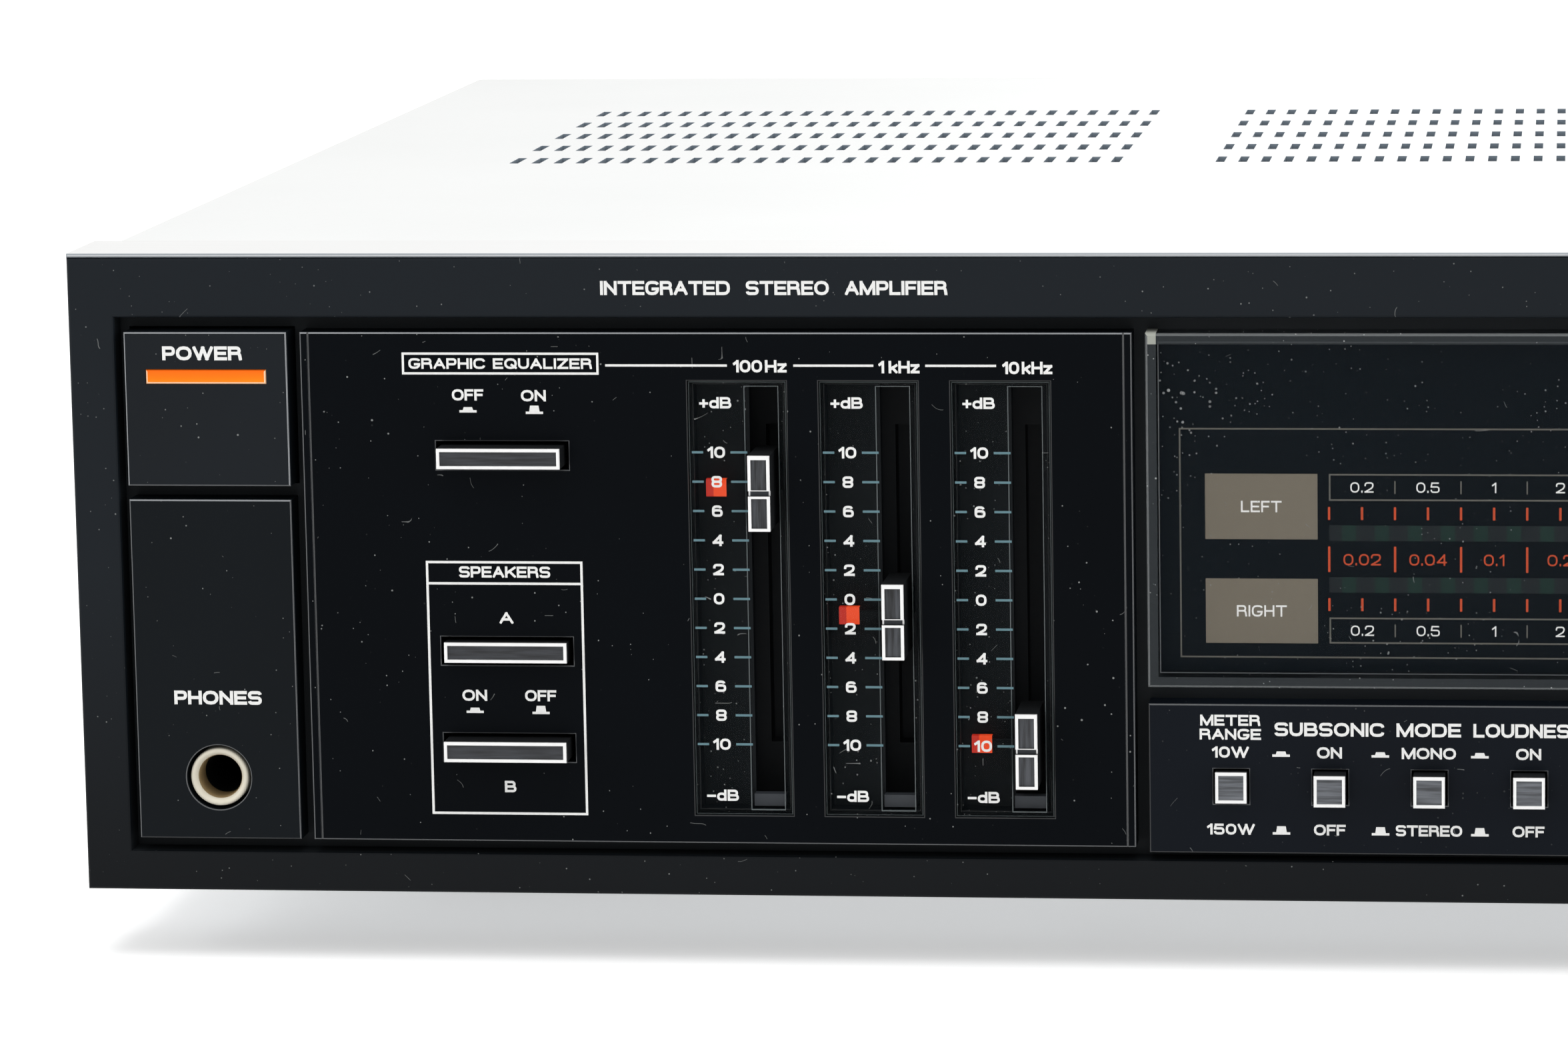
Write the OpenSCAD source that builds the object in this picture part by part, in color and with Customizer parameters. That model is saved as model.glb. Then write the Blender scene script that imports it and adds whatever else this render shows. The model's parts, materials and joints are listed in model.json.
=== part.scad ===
// Stereo amplifier: a black moulded front with a three band equaliser, bar meters and push
// switches, on a sheet steel case with a slotted cover.
// Millimetres. The front faces -Y, the feet stand on z = 0, and inside the file y counts
// from the front face of the moulding towards the back.

/* [Case] */
// Width of the front moulding
front_w = 440; // [430:1:480]
// Height of the front moulding with its trim
front_h = 97; // [95:1:120]
// Depth of the front moulding
front_d = 17; // [16:0.5:24]
// Depth from the front face to the rear panel
case_d = 305; // [300:1:360]
// Inset of the cover at each side of the front
cover_inset = 1.5; // [1.4:0.1:4]
// Thickness of the cover's sheet
cover_t = 1; // [0.8:0.1:1.5]
// Step from the trim down to the cover's top
cover_step = 0.4; // [0.2:0.1:2]
// Open seam between the front moulding and the cover
cover_seam = 0.4; // [0.2:0.1:1]
// Height of the cover's lower edge above the chassis underside
cover_lift = 2; // [1.5:0.5:6]
// Thickness of the chassis sheet
sheet_t = 1.2; // [0.8:0.1:1.6]
// Height of the chassis side walls
side_wall_h = 21; // [18:1:40]
// Height of the chassis rear lip
rear_lip_h = 8; // [7:0.5:12]

/* [Cover vents] */
// Width of a vent slot
vent_w = 1.5; // [1:0.1:2.5]
// Length of a vent slot
vent_l = 9.3; // [5:0.1:12]
// Column to column distance
vent_pitch_x = 3.855; // [3.4:0.005:4]
// Row to row distance
vent_pitch_y = 21.9; // [14:0.1:26]
// Rows of slots
vent_rows = 5; // [3:1:7]
// Columns in each outer block
vent_side_cols = 28; // [10:1:30]
// Columns in the middle block
vent_mid_cols = 30; // [10:1:34]
// Centre of an outer block from the middle of the cover
vent_side_x = 125.85; // [118:0.05:140]
// First row's middle behind the front face
vent_set_back = 141; // [60:0.5:180]

/* [Front moulding] */
// Border at each side of the recess
border_side = 7; // [5:0.5:10]
// Border above the recess
border_top = 9; // [6:0.1:10]
// Border below the recess
border_low = 6.1; // [5:0.1:8]
// Depth of the recess
recess_d = 4; // [3.5:0.1:5]
// Thickness of the recess floor
tray_t = 2; // [1.5:0.1:2.5]
// Wall round the back of the moulding
wall_t = 3; // [2:0.5:5]
// Thickness of the top trim
trim_t = 0.6; // [0.4:0.1:1.5]
// Radius of the screw bosses
boss_r = 4; // [3:0.5:4.5]
// Inset of the bosses from the panels' corners
boss_inset = 5; // [4.5:0.5:6]
// Depth of the space behind the subframe's front face
sub_set = 4; // [3:0.5:5]
// Depth of the subframe's lower flange
flange_d = 24; // [20:1:40]
// Inset of the flange's ends from the moulding's sides
flange_inset = 20; // [10:1:40]

/* [Panels] */
// Gap at both ends of the row of panels
side_gap = 1.6; // [1:0.1:2.5]
// Gap between neighbouring panels
col_gap = 2; // [1:0.1:3]
// Gap above and below the panels
row_gap = 2.1; // [1:0.1:3]
// Width of the power and headphones column
phones_w = 24.7; // [23:0.1:28]
// Width of the equaliser panel
eq_w = 124.2; // [122:0.1:128]
// Width of the meter window and the button strip
meter_w = 134; // [132:0.5:138]
// Height of the button strip
strip_h = 22.5; // [20:0.1:24]
// Gap below the button strip
strip_gap = 1.3; // [1:0.1:2]
// Gap between the strip and the meter window
window_gap = 2.6; // [1.5:0.1:4]
// How far the panels stand proud of the front
panel_proud = 0.8; // [0.6:0.1:1.5]
// How far the button strip stands proud
strip_proud = 0.6; // [0.2:0.1:1.2]
// How far the meter window stands proud
window_proud = 1.4; // [0.5:0.1:2]
// Thickness of the window's face
window_t = 3; // [2:0.1:3.2]
// Thickness of the window's side walls
window_wall = 1.6; // [1:0.1:2.5]
// Thickness of the meter scale plate
scale_t = 1.2; // [0.8:0.1:1.6]
// Width of the equaliser panel's side ribs
rib_w = 1.1; // [0.8:0.1:2]
// Width and depth of the groove beside a rib
rib_groove = 0.3; // [0.2:0.05:0.5]

/* [Power button] */
// Height of the power button
power_h = 23.2; // [20:0.1:28]
// How far the power button stands proud
power_proud = 0.9; // [0.5:0.1:2]
// Travel of the power button
power_travel = 3; // [2:0.1:3.5]
// Wall of the hollow power button
power_wall = 1.6; // [1.2:0.1:2.5]
// Width of the coloured stripe
stripe_w = 18.3; // [14:0.1:20]
// Height of the coloured stripe
stripe_h = 2.2; // [1.5:0.1:4]
// Depth of the stripe in the button's face
stripe_t = 0.6; // [0.4:0.1:1]
// Stripe's middle below the top of the button
stripe_drop = 6.7; // [4:0.1:10]

/* [Slim buttons] */
// Width of a slim button
slim_w = 18.5; // [16:0.1:19]
// Height of a slim button
slim_h = 3.05; // [2.8:0.05:4]
// Gap at each end of a slim button
slim_gap_x = 0.75; // [0.3:0.05:1.2]
// Gap above and below a slim button
slim_gap_z = 0.62; // [0.3:0.02:1]
// How far the slim buttons and the slider knobs stand out
slim_out = 4.6; // [3:0.1:6]
// Full travel of the slim and square buttons
press_travel = 2.5; // [2:0.1:3]
// Depth at which the buttons latch
latch_travel = 2.1; // [1.5:0.1:2.4]
// Buttons' middle from the equaliser panel's left edge
slim_x = 30.2; // [20:0.1:36]
// Equaliser button above the panel's lower edge
eq_button_rise = 58.65; // [52:0.05:64]
// Speaker A button above the panel's lower edge
speaker_a_rise = 29.05; // [26:0.05:34]
// Speaker B button above the panel's lower edge
speaker_b_rise = 14.35; // [10:0.05:17]

/* [Equaliser sliders] */
// First slider from the equaliser panel's left edge
slider_x = 69.15; // [66:0.05:72]
// Slider to slider distance
slider_pitch = 19.6; // [18:0.1:20.5]
// Zero mark above the panel's lower edge
slider_rise = 37.1; // [36:0.1:38]
// Full travel of a slider
slider_travel = 44.1; // [40:0.1:46]
// Width of a slider knob
slider_w = 3.26; // [2.8:0.02:3.8]
// Height of a slider knob
slider_h = 11.3; // [9:0.1:13]
// Width of the groove across a knob's face
slider_groove = 0.8; // [0.5:0.1:1.5]
// Width of a slider's slot
slot_w = 4.9; // [4.5:0.1:5.5]
// Height of a slider's slot
slot_h = 63.8; // [60:0.1:64]
// Width of a smoked scale insert
insert_w = 14.6; // [14.2:0.1:15.5]
// Height of a smoked scale insert
insert_h = 65.4; // [65:0.1:68]
// Thickness of a scale insert
insert_t = 1.2; // [0.8:0.1:1.4]
// How far the inserts stand proud of the front
insert_proud = 0.5; // [0.2:0.1:0.6]
// Slot's middle right of the insert's middle
insert_shift = 3.6; // [3.2:0.05:4]
// Ledge that an insert rests on
insert_ledge = 0.6; // [0.4:0.1:0.8]
// Height of the 100 Hz slider above its zero mark
bass_set = 16.5; // [-20:0.1:20]
// Height of the 1 kHz slider above its zero mark
mid_set = -2.7; // [-20:0.1:20]
// Height of the 10 kHz slider above its bottom stop
treble_lift = 0; // [0:0.1:40]
// Width of a slider's flag
flag_w = 3.1; // [2.5:0.1:3.3]
// Height of a slider's flag
flag_h = 2.6; // [2:0.1:4]
// Thickness of a flag
flag_t = 1.2; // [0.8:0.1:1.5]
// Flag's middle left of the slot's middle
flag_shift = 7.15; // [6.5:0.05:7.4]

/* [Square buttons] */
// Side of a square button
square_w = 4.65; // [4:0.05:5.2]
// Gap round a square button
square_gap = 0.33; // [0.3:0.01:0.6]
// How far the square buttons stand out
square_out = 4; // [3:0.1:5.5]
// First square button from the strip's left end
square_x = 12.2; // [9:0.1:16]
// Button to button distance
square_pitch = 14.65; // [12.5:0.05:15]
// Square buttons above the strip's lower edge
square_rise = 10.1; // [8:0.1:12]
// Balance slider's middle from the strip's right end
balance_x = 20.5; // [18:0.1:22]
// Travel of the balance slider
balance_travel = 18; // [12:0.5:20]
// Width of the balance slider's knob
balance_w = 6; // [4:0.1:8]
// Height of the balance slider's knob
balance_h = 7; // [5:0.1:9]

/* [Knobs] */
// Radius of the volume knob
volume_r = 25; // [20:0.5:30]
// Depth of the volume knob
volume_l = 21; // [16:0.5:30]
// Share of the panel's spare width at the right of the volume knob
volume_share = 0.19; // [0.1:0.01:0.3]
// Radius of the selector knob
selector_r = 11; // [8:0.5:14]
// Depth of the selector knob
selector_l = 15; // [12:0.5:15.5]
// Share of the panel's spare width at the left of the selector knob
selector_share = 0.29; // [0.1:0.01:0.4]
// Radius of the control shafts
shaft_r = 3; // [2.5:0.1:3.5]
// Wall of the threaded bushes round the shafts
bush_t = 1.2; // [0.8:0.1:1.5]
// Gap between a knob and its panel
knob_gap = 0.4; // [0.3:0.1:1]
// Radial clearance of a shaft in its bush
run_fit = 0.05; // [0.02:0.01:0.08]

/* [Headphones jack] */
// Bore of the jack
jack_bore_r = 3.2; // [3.18:0.01:3.3]
// Outer radius of the jack's nose
jack_nose_r = 4.45; // [4.1:0.05:4.8]
// Gap round the jack's nose
jack_gap = 0.5; // [0.2:0.05:0.8]
// Jack above the panel's lower edge
jack_rise = 9.4; // [9:0.1:14]
// Depth of the jack's body behind the subframe
jack_body_l = 30; // [26:1:36]

/* [Controls behind the front] */
// Depth of the potentiometers and switches
pot_d = 8; // [7.5:0.1:12]
// Width of a slide potentiometer
pot_w = 9; // [7:0.1:12]
// Slide potentiometer past each end of its slot
pot_end = 11; // [6:0.5:12]
// Balance potentiometer past each end of its slot
balance_pot_end = 9; // [5:0.5:10]
// Radius of the volume control's body
volume_pot_r = 12; // [10:0.5:14]
// Radius of the selector switch's body
selector_switch_r = 14; // [10:0.5:15]
// How far a stem reaches into its switch or potentiometer
stem_in = 2; // [1:0.1:2.5]
// Clearance of a stem in its guide
stem_gap = 0.3; // [0.2:0.05:0.5]
// Thickness of the circuit boards
board_t = 1.6; // [1:0.1:2]

/* [Feet and screws] */
// Height of a foot
foot_h = 11; // [8:0.5:16]
// Radius of a foot
foot_r = 18; // [14:0.5:22]
// Feet from the chassis sides
foot_side = 52.5; // [40:0.5:75]
// Front feet behind the front face
foot_front = 75; // [65:1:90]
// Rear feet in front of the rear panel
foot_rear = 40; // [30:1:60]
// Radius of a screw's shank
screw_r = 1.5; // [1.2:0.1:1.8]
// Radius of a screw's head
head_r = 3; // [2.6:0.1:3.4]
// Height of a screw's head
head_h = 1.4; // [1:0.1:1.4]
// Clearance round a screw's shank
screw_fit = 0.15; // [0.1:0.05:0.3]
// Side screws from the cover's ends
side_screw_inset = 30; // [20:1:40]

/* [Rear sockets] */
// Columns of phono sockets
phono_cols = 5; // [3:1:6]
// Column to column distance of the phono sockets
phono_pitch = 16; // [14:0.5:18]
// First column from the chassis's right side
phono_side = 117.5; // [108:0.5:137]
// Lower row above the chassis underside
phono_rise = 44; // [36:1:52]
// Radius of a socket's sleeve
phono_r = 4.15; // [4.1:0.01:4.2]
// Bore for the plug's pin
phono_bore_r = 1.65; // [1.6:0.01:1.7]
// Length of a sleeve behind the rear panel
phono_l = 10; // [8:0.5:11]
// Shoulder of a socket in the rear panel
phono_shoulder = 1; // [0.5:0.1:1.5]
// Cells in a row of the speaker terminals
term_cols = 4; // [2:1:6]
// Cell to cell distance
term_pitch = 14; // [13:0.5:16]
// Height of a terminal cell
term_cell_h = 20; // [19:0.5:24]
// Border round the terminal cells
term_border = 2; // [1.5:0.5:4]
// Depth of the terminal block
term_d = 12; // [11.5:0.5:16]
// Middle of the terminal block from the middle line
term_x = -25; // [-60:1:0]
// Terminal block above the chassis underside
term_rise = 16; // [14:1:30]
// Radius of a wire hole
wire_r = 1.5; // [1.2:0.1:2]
// Width of a spring lever
lever_w = 8.4; // [7:0.1:9]
// Height of a spring lever
lever_h = 10; // [9:0.1:10.5]
// Thickness of a spring lever
lever_t = 4; // [3:0.1:4.5]
// Radius of a lever's pivot pin
pivot_r = 1; // [0.8:0.1:1.2]
// Mains cord entry from the chassis side
gland_side = 32.5; // [24:0.5:66]
// Mains cord entry above the chassis underside
gland_rise = 30; // [24:1:50]
// Bore of the cord entry
gland_bore_r = 3.6; // [3:0.1:4.2]
// Earth screw from the chassis's right side
earth_side = 24.5; // [16:0.5:29]
// Earth screw above the chassis underside
earth_rise = 44; // [30:1:60]
// Radius of the earth screw's head
earth_r = 5.5; // [4.5:0.1:7]

/* [Inside] */
// Width of the transformer core
core_w = 90; // [80:1:100]
// Stack of the transformer core
core_d = 34; // [28:1:44]
// Height of the transformer core
core_h = 76; // [66:1:80]
// Width of the core's outer legs
core_leg = 15; // [12:0.5:18]
// Transformer's middle from the chassis side
core_side = 72.5; // [63:0.5:77]
// Transformer's middle behind the front face
core_y = 105; // [95:1:120]
// Width of the heat sink
sink_w = 140; // [120:1:150]
// Heat sink's middle from the middle line
sink_x = 20; // [0:1:40]
// Front face of the heat sink behind the front
sink_y = 115; // [100:1:120]
// Height of the heat sink
sink_h = 72; // [60:1:80]
// Depth of the fins
fin_d = 40; // [30:1:48]
// Thickness of a fin
fin_t = 2; // [1.5:0.1:3]
// Fins on the heat sink
fins = 15; // [8:1:20]
// Width of a power module
module_w = 56; // [40:1:58]
// Height of a power module
module_h = 32; // [24:1:50]
// Thickness of a power module
module_t = 9; // [6:0.5:10]
// Width of the main board
main_w = 250; // [220:1:260]
// Depth of the main board
main_d = 90; // [80:1:96]
// Main board's middle from the chassis's right side
main_side = 142.5; // [138:0.5:157]
// Main board in front of the rear panel
main_gap = 20; // [18:1:26]
// Height of the main board's pillars
pillar_h = 10; // [6:0.5:14]
// Radius of a filter capacitor
cap_r = 17.5; // [12:0.5:20]
// Height of a filter capacitor
cap_h = 50; // [35:1:56]
// Width of a speaker relay
relay_w = 22; // [16:1:26]
// Depth of a speaker relay
relay_d = 16; // [12:1:20]
// Height of a speaker relay
relay_h = 20; // [14:1:26]

/* [Hidden] */
$fn = 48;

// Overshoot of every cut past the face that it opens
cut = 1;
// Clearance of flat pieces that slip into or past each other
slip = 0.2;

// Levels from the front face towards the back
tray_y1 = recess_d + tray_t;
sub_y0 = front_d - sub_set;
pot_y0 = sub_y0 + sheet_t;
board_y0 = pot_y0 + pot_d;
rear_y = case_d + sheet_t;
volume_reach = panel_proud + knob_gap + volume_l;
front_reach = max(volume_reach, panel_proud + knob_gap + selector_l, slim_out, square_out);
rear_reach = max(term_d, phono_l);
middle_y = (rear_y + rear_reach - front_reach) / 2;

// Levels above the ground
floor_z = foot_h + sheet_t;
mould_z1 = foot_h + front_h - trim_t;
cover_z1 = foot_h + front_h - cover_step;
recess_z0 = foot_h + border_low;
recess_z1 = mould_z1 - border_top;
panel_z = [recess_z0 + row_gap, recess_z1 - row_gap];
strip_z = [recess_z0 + strip_gap, recess_z0 + strip_gap + strip_h];
window_z = [strip_z[1] + window_gap, panel_z[1]];
power_z = [panel_z[1] - power_h, panel_z[1]];
phones_z = [panel_z[0], power_z[0] - row_gap];

// Places across the front
half_w = front_w / 2;
cover_half = half_w - cover_inset;
chassis_half = cover_half - cover_t;
recess_x = [-half_w + border_side, half_w - border_side];
phones_x = [recess_x[0] + side_gap, recess_x[0] + side_gap + phones_w];
eq_x = [phones_x[1] + col_gap, phones_x[1] + col_gap + eq_w];
meter_x = [eq_x[1] + col_gap, eq_x[1] + col_gap + meter_w];
volume_panel_x = [meter_x[1] + col_gap, recess_x[1] - side_gap];

// Middles of the controls, as [x, z]
power_at = [(phones_x[0] + phones_x[1]) / 2, (power_z[0] + power_z[1]) / 2];
jack_at = [power_at[0], phones_z[0] + jack_rise];
slim_cx = eq_x[0] + slim_x;
slim_zs = [panel_z[0] + eq_button_rise, panel_z[0] + speaker_a_rise, panel_z[0] + speaker_b_rise];
slider_xs = [for (i = [0:2]) eq_x[0] + slider_x + i * slider_pitch];
slider_cz = panel_z[0] + slider_rise;
treble_set = treble_lift - slider_travel / 2;
square_xs = [for (i = [0:5]) meter_x[0] + square_x + i * square_pitch];
square_cz = strip_z[0] + square_rise;
balance_at = [meter_x[1] - balance_x, square_cz];
knob_spare = volume_panel_x[1] - volume_panel_x[0] - 2 * (volume_r + selector_r);
volume_at = [volume_panel_x[1] - volume_share * knob_spare - volume_r, (panel_z[0] + panel_z[1]) / 2];
selector_at = [volume_panel_x[0] + selector_share * knob_spare + selector_r, volume_at[1]];
bush_r = shaft_r + run_fit + bush_t;

// Stems behind the buttons and sliders, as [width, height]
slim_stem = [4, 2.4];
square_stem = [2.6, 2.6];
power_stem = [5, 5];
slider_stem = [2, 4];
balance_stem = [4, 2];
stem_end = pot_y0 + stem_in;
press_hole_d = stem_in + press_travel + stem_gap;
press_back = sub_y0 - press_travel - 1;
power_back = sub_y0 - power_travel - 1;

// Screw bosses at the corners of the equaliser and volume panels
boss_at = [
  for (x = [eq_x[0] + boss_inset, eq_x[1] - boss_inset,
            volume_panel_x[0] + boss_inset, volume_panel_x[1] - boss_inset])
  for (z = [panel_z[0] + boss_inset, panel_z[1] - boss_inset]) [x, z]
];
flange_half = half_w - flange_inset;
flange_screw_y = (front_d + sub_y0 + flange_d) / 2;
flange_screw_xs = [-flange_half + head_r * 3, -flange_half / 3, flange_half / 3, flange_half - head_r * 3];

// Screws through the cover's sides and the rear panel
side_screw_z = foot_h + side_wall_h / 2;
side_screw_ys = [front_d + side_screw_inset, case_d - side_screw_inset];
rear_screw_z = foot_h + sheet_t + (rear_lip_h - sheet_t) / 2;
rear_screw_xs = [for (s = [-1, 1], k = [0.42, 0.92]) s * k * chassis_half];
foot_at = [for (s = [-1, 1], y = [foot_front, case_d - foot_rear]) [s * (chassis_half - foot_side), y]];
foot_recess_r = head_r + 2;
foot_recess_d = foot_h - 4;

// Lamps behind the meter scale
led_x = [meter_x[0] + 10, meter_x[1] - 10];
led_z = [window_z[0] + 11, window_z[1] - 11];
meter_pcb_y = tray_y1 + 1;

// Sockets at the back
phono_xs = [for (i = [0:phono_cols - 1]) chassis_half - phono_side + i * phono_pitch];
phono_zs = [foot_h + phono_rise, foot_h + phono_rise + phono_pitch];
phono_body = 12;
phono_neck_r = phono_r + phono_shoulder;
term_block_x = [term_x - term_cols * term_pitch / 2 - term_border,
                term_x + term_cols * term_pitch / 2 + term_border];
term_block_z = [foot_h + term_rise, foot_h + term_rise + 2 * term_cell_h + 2 * term_border];
term_seat = rear_y + sheet_t;
term_face = rear_y + term_d;
wire_floor = term_seat + 0.8;
lever_gap = 0.4;
lever_face = term_face - 1;
lever_tilt = 20;
pivot_rise = 1.8;
pivot_grip = 1.2;
lever_low_swing = norm([lever_t / 2, pivot_rise]);
lever_high_swing = norm([lever_t / 2, lever_h - pivot_rise]);
lever_floor = lever_face - lever_t / 2 - lever_t / 2 * cos(lever_tilt)
              - (lever_h - pivot_rise) * sin(lever_tilt) - lever_gap;
gland_at = [gland_side - chassis_half, foot_h + gland_rise];
gland_wall = 2.4;
gland_flange = 2.6;
gland_barrel_r = gland_bore_r + gland_wall;
earth_at = [chassis_half - earth_side, foot_h + earth_rise];
earth_shank_r = 2;
earth_head_l = 8;

// Helpers for spans
function about(middle, half) = [middle - half, middle + half];
function grow(span, by) = [span[0] - by, span[1] + by];

// A box between three spans
module block(x, y, z) {
  translate([x[0], y[0], z[0]])
    cube([x[1] - x[0], y[1] - y[0], z[1] - z[0]]);
}

// A round bar along Y at [x, z]
module rod(at, r, y) {
  translate([at[0], y[0], at[1]])
    rotate([-90, 0, 0])
      cylinder(r = r, h = y[1] - y[0]);
}

// A round bar along X at [y, z]
module cross_rod(at, r, x) {
  translate([x[0], at[0], at[1]])
    rotate([0, 90, 0])
      cylinder(r = r, h = x[1] - x[0]);
}

// A round bar along Z at [x, y]
module post(at, r, z) {
  translate([at[0], at[1], z[0]])
    cylinder(r = r, h = z[1] - z[0]);
}

// A bar along Y with a [width, height] section, grown by a clearance
module bar(at, size, y, gap = 0) {
  block(about(at[0], size[0] / 2 + gap), y, about(at[1], size[1] / 2 + gap));
}

// Moves the part so that its origin is at the middle of its footprint
module placed() {
  translate([0, -middle_y, 0]) children();
}

// Openings that the buttons, sliders and shafts share
module slim_openings(y) {
  for (z = slim_zs)
    block(about(slim_cx, slim_w / 2 + slim_gap_x), y, about(z, slim_h / 2 + slim_gap_z));
}

module slider_slots(y) {
  for (x = slider_xs)
    bar([x, slider_cz], [slot_w, slot_h], y);
}

module square_openings(y) {
  for (x = square_xs)
    bar([x, square_cz], [square_w, square_w], y, square_gap);
  bar(balance_at, [balance_travel + balance_w, balance_h], y, square_gap);
}

module shaft_openings(y) {
  rod(volume_at, bush_r + slip, y);
  rod(selector_at, bush_r + slip, y);
}

module jack_opening(y) {
  rod(jack_at, jack_nose_r + jack_gap, y);
}

// Case

module chassis_base() {
  color("#8d9196") placed() difference() {
    union() {
      block([-chassis_half, chassis_half], [front_d, case_d], [foot_h, floor_z]);
      for (s = [-1, 1])
        block(about(s * (chassis_half - sheet_t / 2), sheet_t / 2), [front_d, case_d],
              [foot_h, foot_h + side_wall_h]);
      block([-chassis_half, chassis_half], [case_d - sheet_t, case_d], [foot_h, foot_h + rear_lip_h]);
    }
    for (p = foot_at)
      post(p, screw_r + screw_fit, [foot_h - cut, floor_z + cut]);
    for (x = flange_screw_xs)
      post([x, flange_screw_y], screw_r + screw_fit, [foot_h - cut, floor_z + cut]);
    for (x = rear_screw_xs)
      rod([x, rear_screw_z], screw_r + screw_fit, [case_d - sheet_t - cut, case_d + cut]);
    for (s = [-1, 1], y = side_screw_ys)
      cross_rod([y, side_screw_z], screw_r + screw_fit, about(s * chassis_half, sheet_t + cut));
  }
}

module rear_panel() {
  color("#2b2d30") placed() difference() {
    block([slip - chassis_half, chassis_half - slip], [case_d, rear_y],
          [foot_h, cover_z1 - cover_t - slip]);
    for (x = phono_xs, z = phono_zs)
      rod([x, z], phono_neck_r + slip, [case_d - cut, rear_y + cut]);
    block(grow(term_block_x, slip - 5), [case_d - cut, rear_y + cut], grow(term_block_z, slip - 5));
    rod(gland_at, gland_barrel_r + slip, [case_d - cut, rear_y + cut]);
    rod(earth_at, earth_shank_r + run_fit, [case_d - cut, rear_y + cut]);
    for (x = rear_screw_xs)
      rod([x, rear_screw_z], screw_r + screw_fit, [case_d - cut, rear_y + cut]);
  }
}

module front_subframe() {
  y = [sub_y0 - cut, pot_y0 + cut];
  color("#9a9da1") placed() difference() {
    union() {
      block(grow([-half_w, half_w], -wall_t - slip), [sub_y0, pot_y0],
            [floor_z, mould_z1 - wall_t - slip]);
      block([-flange_half, flange_half], [sub_y0, sub_y0 + flange_d], [floor_z, floor_z + sheet_t]);
    }
    bar(power_at, power_stem, y, stem_gap);
    jack_opening(y);
    for (z = slim_zs)
      bar([slim_cx, z], slim_stem, y, stem_gap);
    for (x = slider_xs)
      bar([x, slider_cz], slider_stem + [0, slider_travel], y, stem_gap);
    for (x = square_xs)
      bar([x, square_cz], square_stem, y, stem_gap);
    bar(balance_at, balance_stem + [balance_travel, 0], y, stem_gap);
    shaft_openings(y);
    for (p = boss_at)
      rod(p, screw_r + screw_fit, y);
    for (x = flange_screw_xs)
      post([x, flange_screw_y], screw_r + screw_fit, [floor_z - cut, floor_z + sheet_t + cut]);
  }
}

module front_panel() {
  floor_y = [recess_d - cut, tray_y1 + cut];
  color("#171b1f") placed() difference() {
    union() {
      difference() {
        block([-half_w, half_w], [0, front_d], [foot_h, mould_z1]);
        block(recess_x, [-cut, recess_d], [recess_z0, recess_z1]);
        block(grow([-half_w, half_w], -wall_t), [tray_y1, front_d + cut],
              [foot_h + wall_t, mould_z1 - wall_t]);
        block(grow([-half_w, half_w], -wall_t), [sub_y0, front_d + cut],
              [floor_z, foot_h + wall_t + cut]);
      }
      for (p = boss_at)
        rod(p, boss_r, [tray_y1 - tray_t / 2, sub_y0]);
    }
    for (p = boss_at)
      rod(p, screw_r + screw_fit, [tray_y1, sub_y0 + cut]);
    bar(power_at, [phones_w, power_h], floor_y, stem_gap);
    jack_opening(floor_y);
    slim_openings(floor_y);
    slider_slots(floor_y);
    square_openings(floor_y);
    shaft_openings(floor_y);
    block(grow(led_x, slip), floor_y, grow(led_z, slip));
  }
}

module front_trim() {
  color("#b9bcc0") placed()
    block([-half_w, half_w], [0, front_d], [mould_z1, mould_z1 + trim_t]);
}

module vent_block(x, cols) {
  for (i = [0:cols - 1], j = [0:vent_rows - 1])
    translate([x + (i - (cols - 1) / 2) * vent_pitch_x, vent_set_back + j * vent_pitch_y, cover_z1])
      cube([vent_w, vent_l, 4 * cover_t], center = true);
}

module top_cover() {
  y = [front_d + cover_seam, rear_y];
  color("#e9eaec") placed() difference() {
    block([-cover_half, cover_half], y, [foot_h + cover_lift, cover_z1]);
    block([-chassis_half, chassis_half], grow(y, cut), [foot_h, cover_z1 - cover_t]);
    for (s = [-1, 1], screw_y = side_screw_ys)
      cross_rod([screw_y, side_screw_z], screw_r + screw_fit, about(s * cover_half, cover_t + cut));
    vent_block(-vent_side_x, vent_side_cols);
    vent_block(0, vent_mid_cols);
    vent_block(vent_side_x, vent_side_cols);
  }
}

// A rubber faced foot with a screw recess from below
module feet() {
  color("#202224") placed()
    for (p = foot_at)
      difference() {
        post(p, foot_r, [0, foot_h]);
        post(p, foot_recess_r, [-cut, foot_recess_d]);
        post(p, screw_r + screw_fit, [0, foot_h + cut]);
      }
}

// A pan head screw along +Z with its head below the origin plane
module screw(length) {
  translate([0, 0, -head_h]) cylinder(r = head_r, h = head_h);
  cylinder(r = screw_r, h = length);
}

module case_screws() {
  wall = cover_t + sheet_t;
  color("#6f7276") placed() {
    for (s = [-1, 1], y = side_screw_ys)
      translate([s * cover_half, y, side_screw_z])
        rotate([0, -90 * s, 0])
          screw(wall + 3);
    for (x = rear_screw_xs)
      translate([x, rear_y, rear_screw_z])
        rotate([90, 0, 0])
          screw(2 * sheet_t + 3);
    for (p = foot_at)
      translate([p[0], p[1], foot_recess_d])
        screw(floor_z - foot_recess_d + 2);
    for (x = flange_screw_xs)
      translate([x, flange_screw_y, foot_h])
        screw(2 * sheet_t + 2);
    for (p = boss_at)
      translate([p[0], pot_y0, p[1]])
        rotate([90, 0, 0])
          screw(sheet_t + 4);
  }
}

// Front panels

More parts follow.
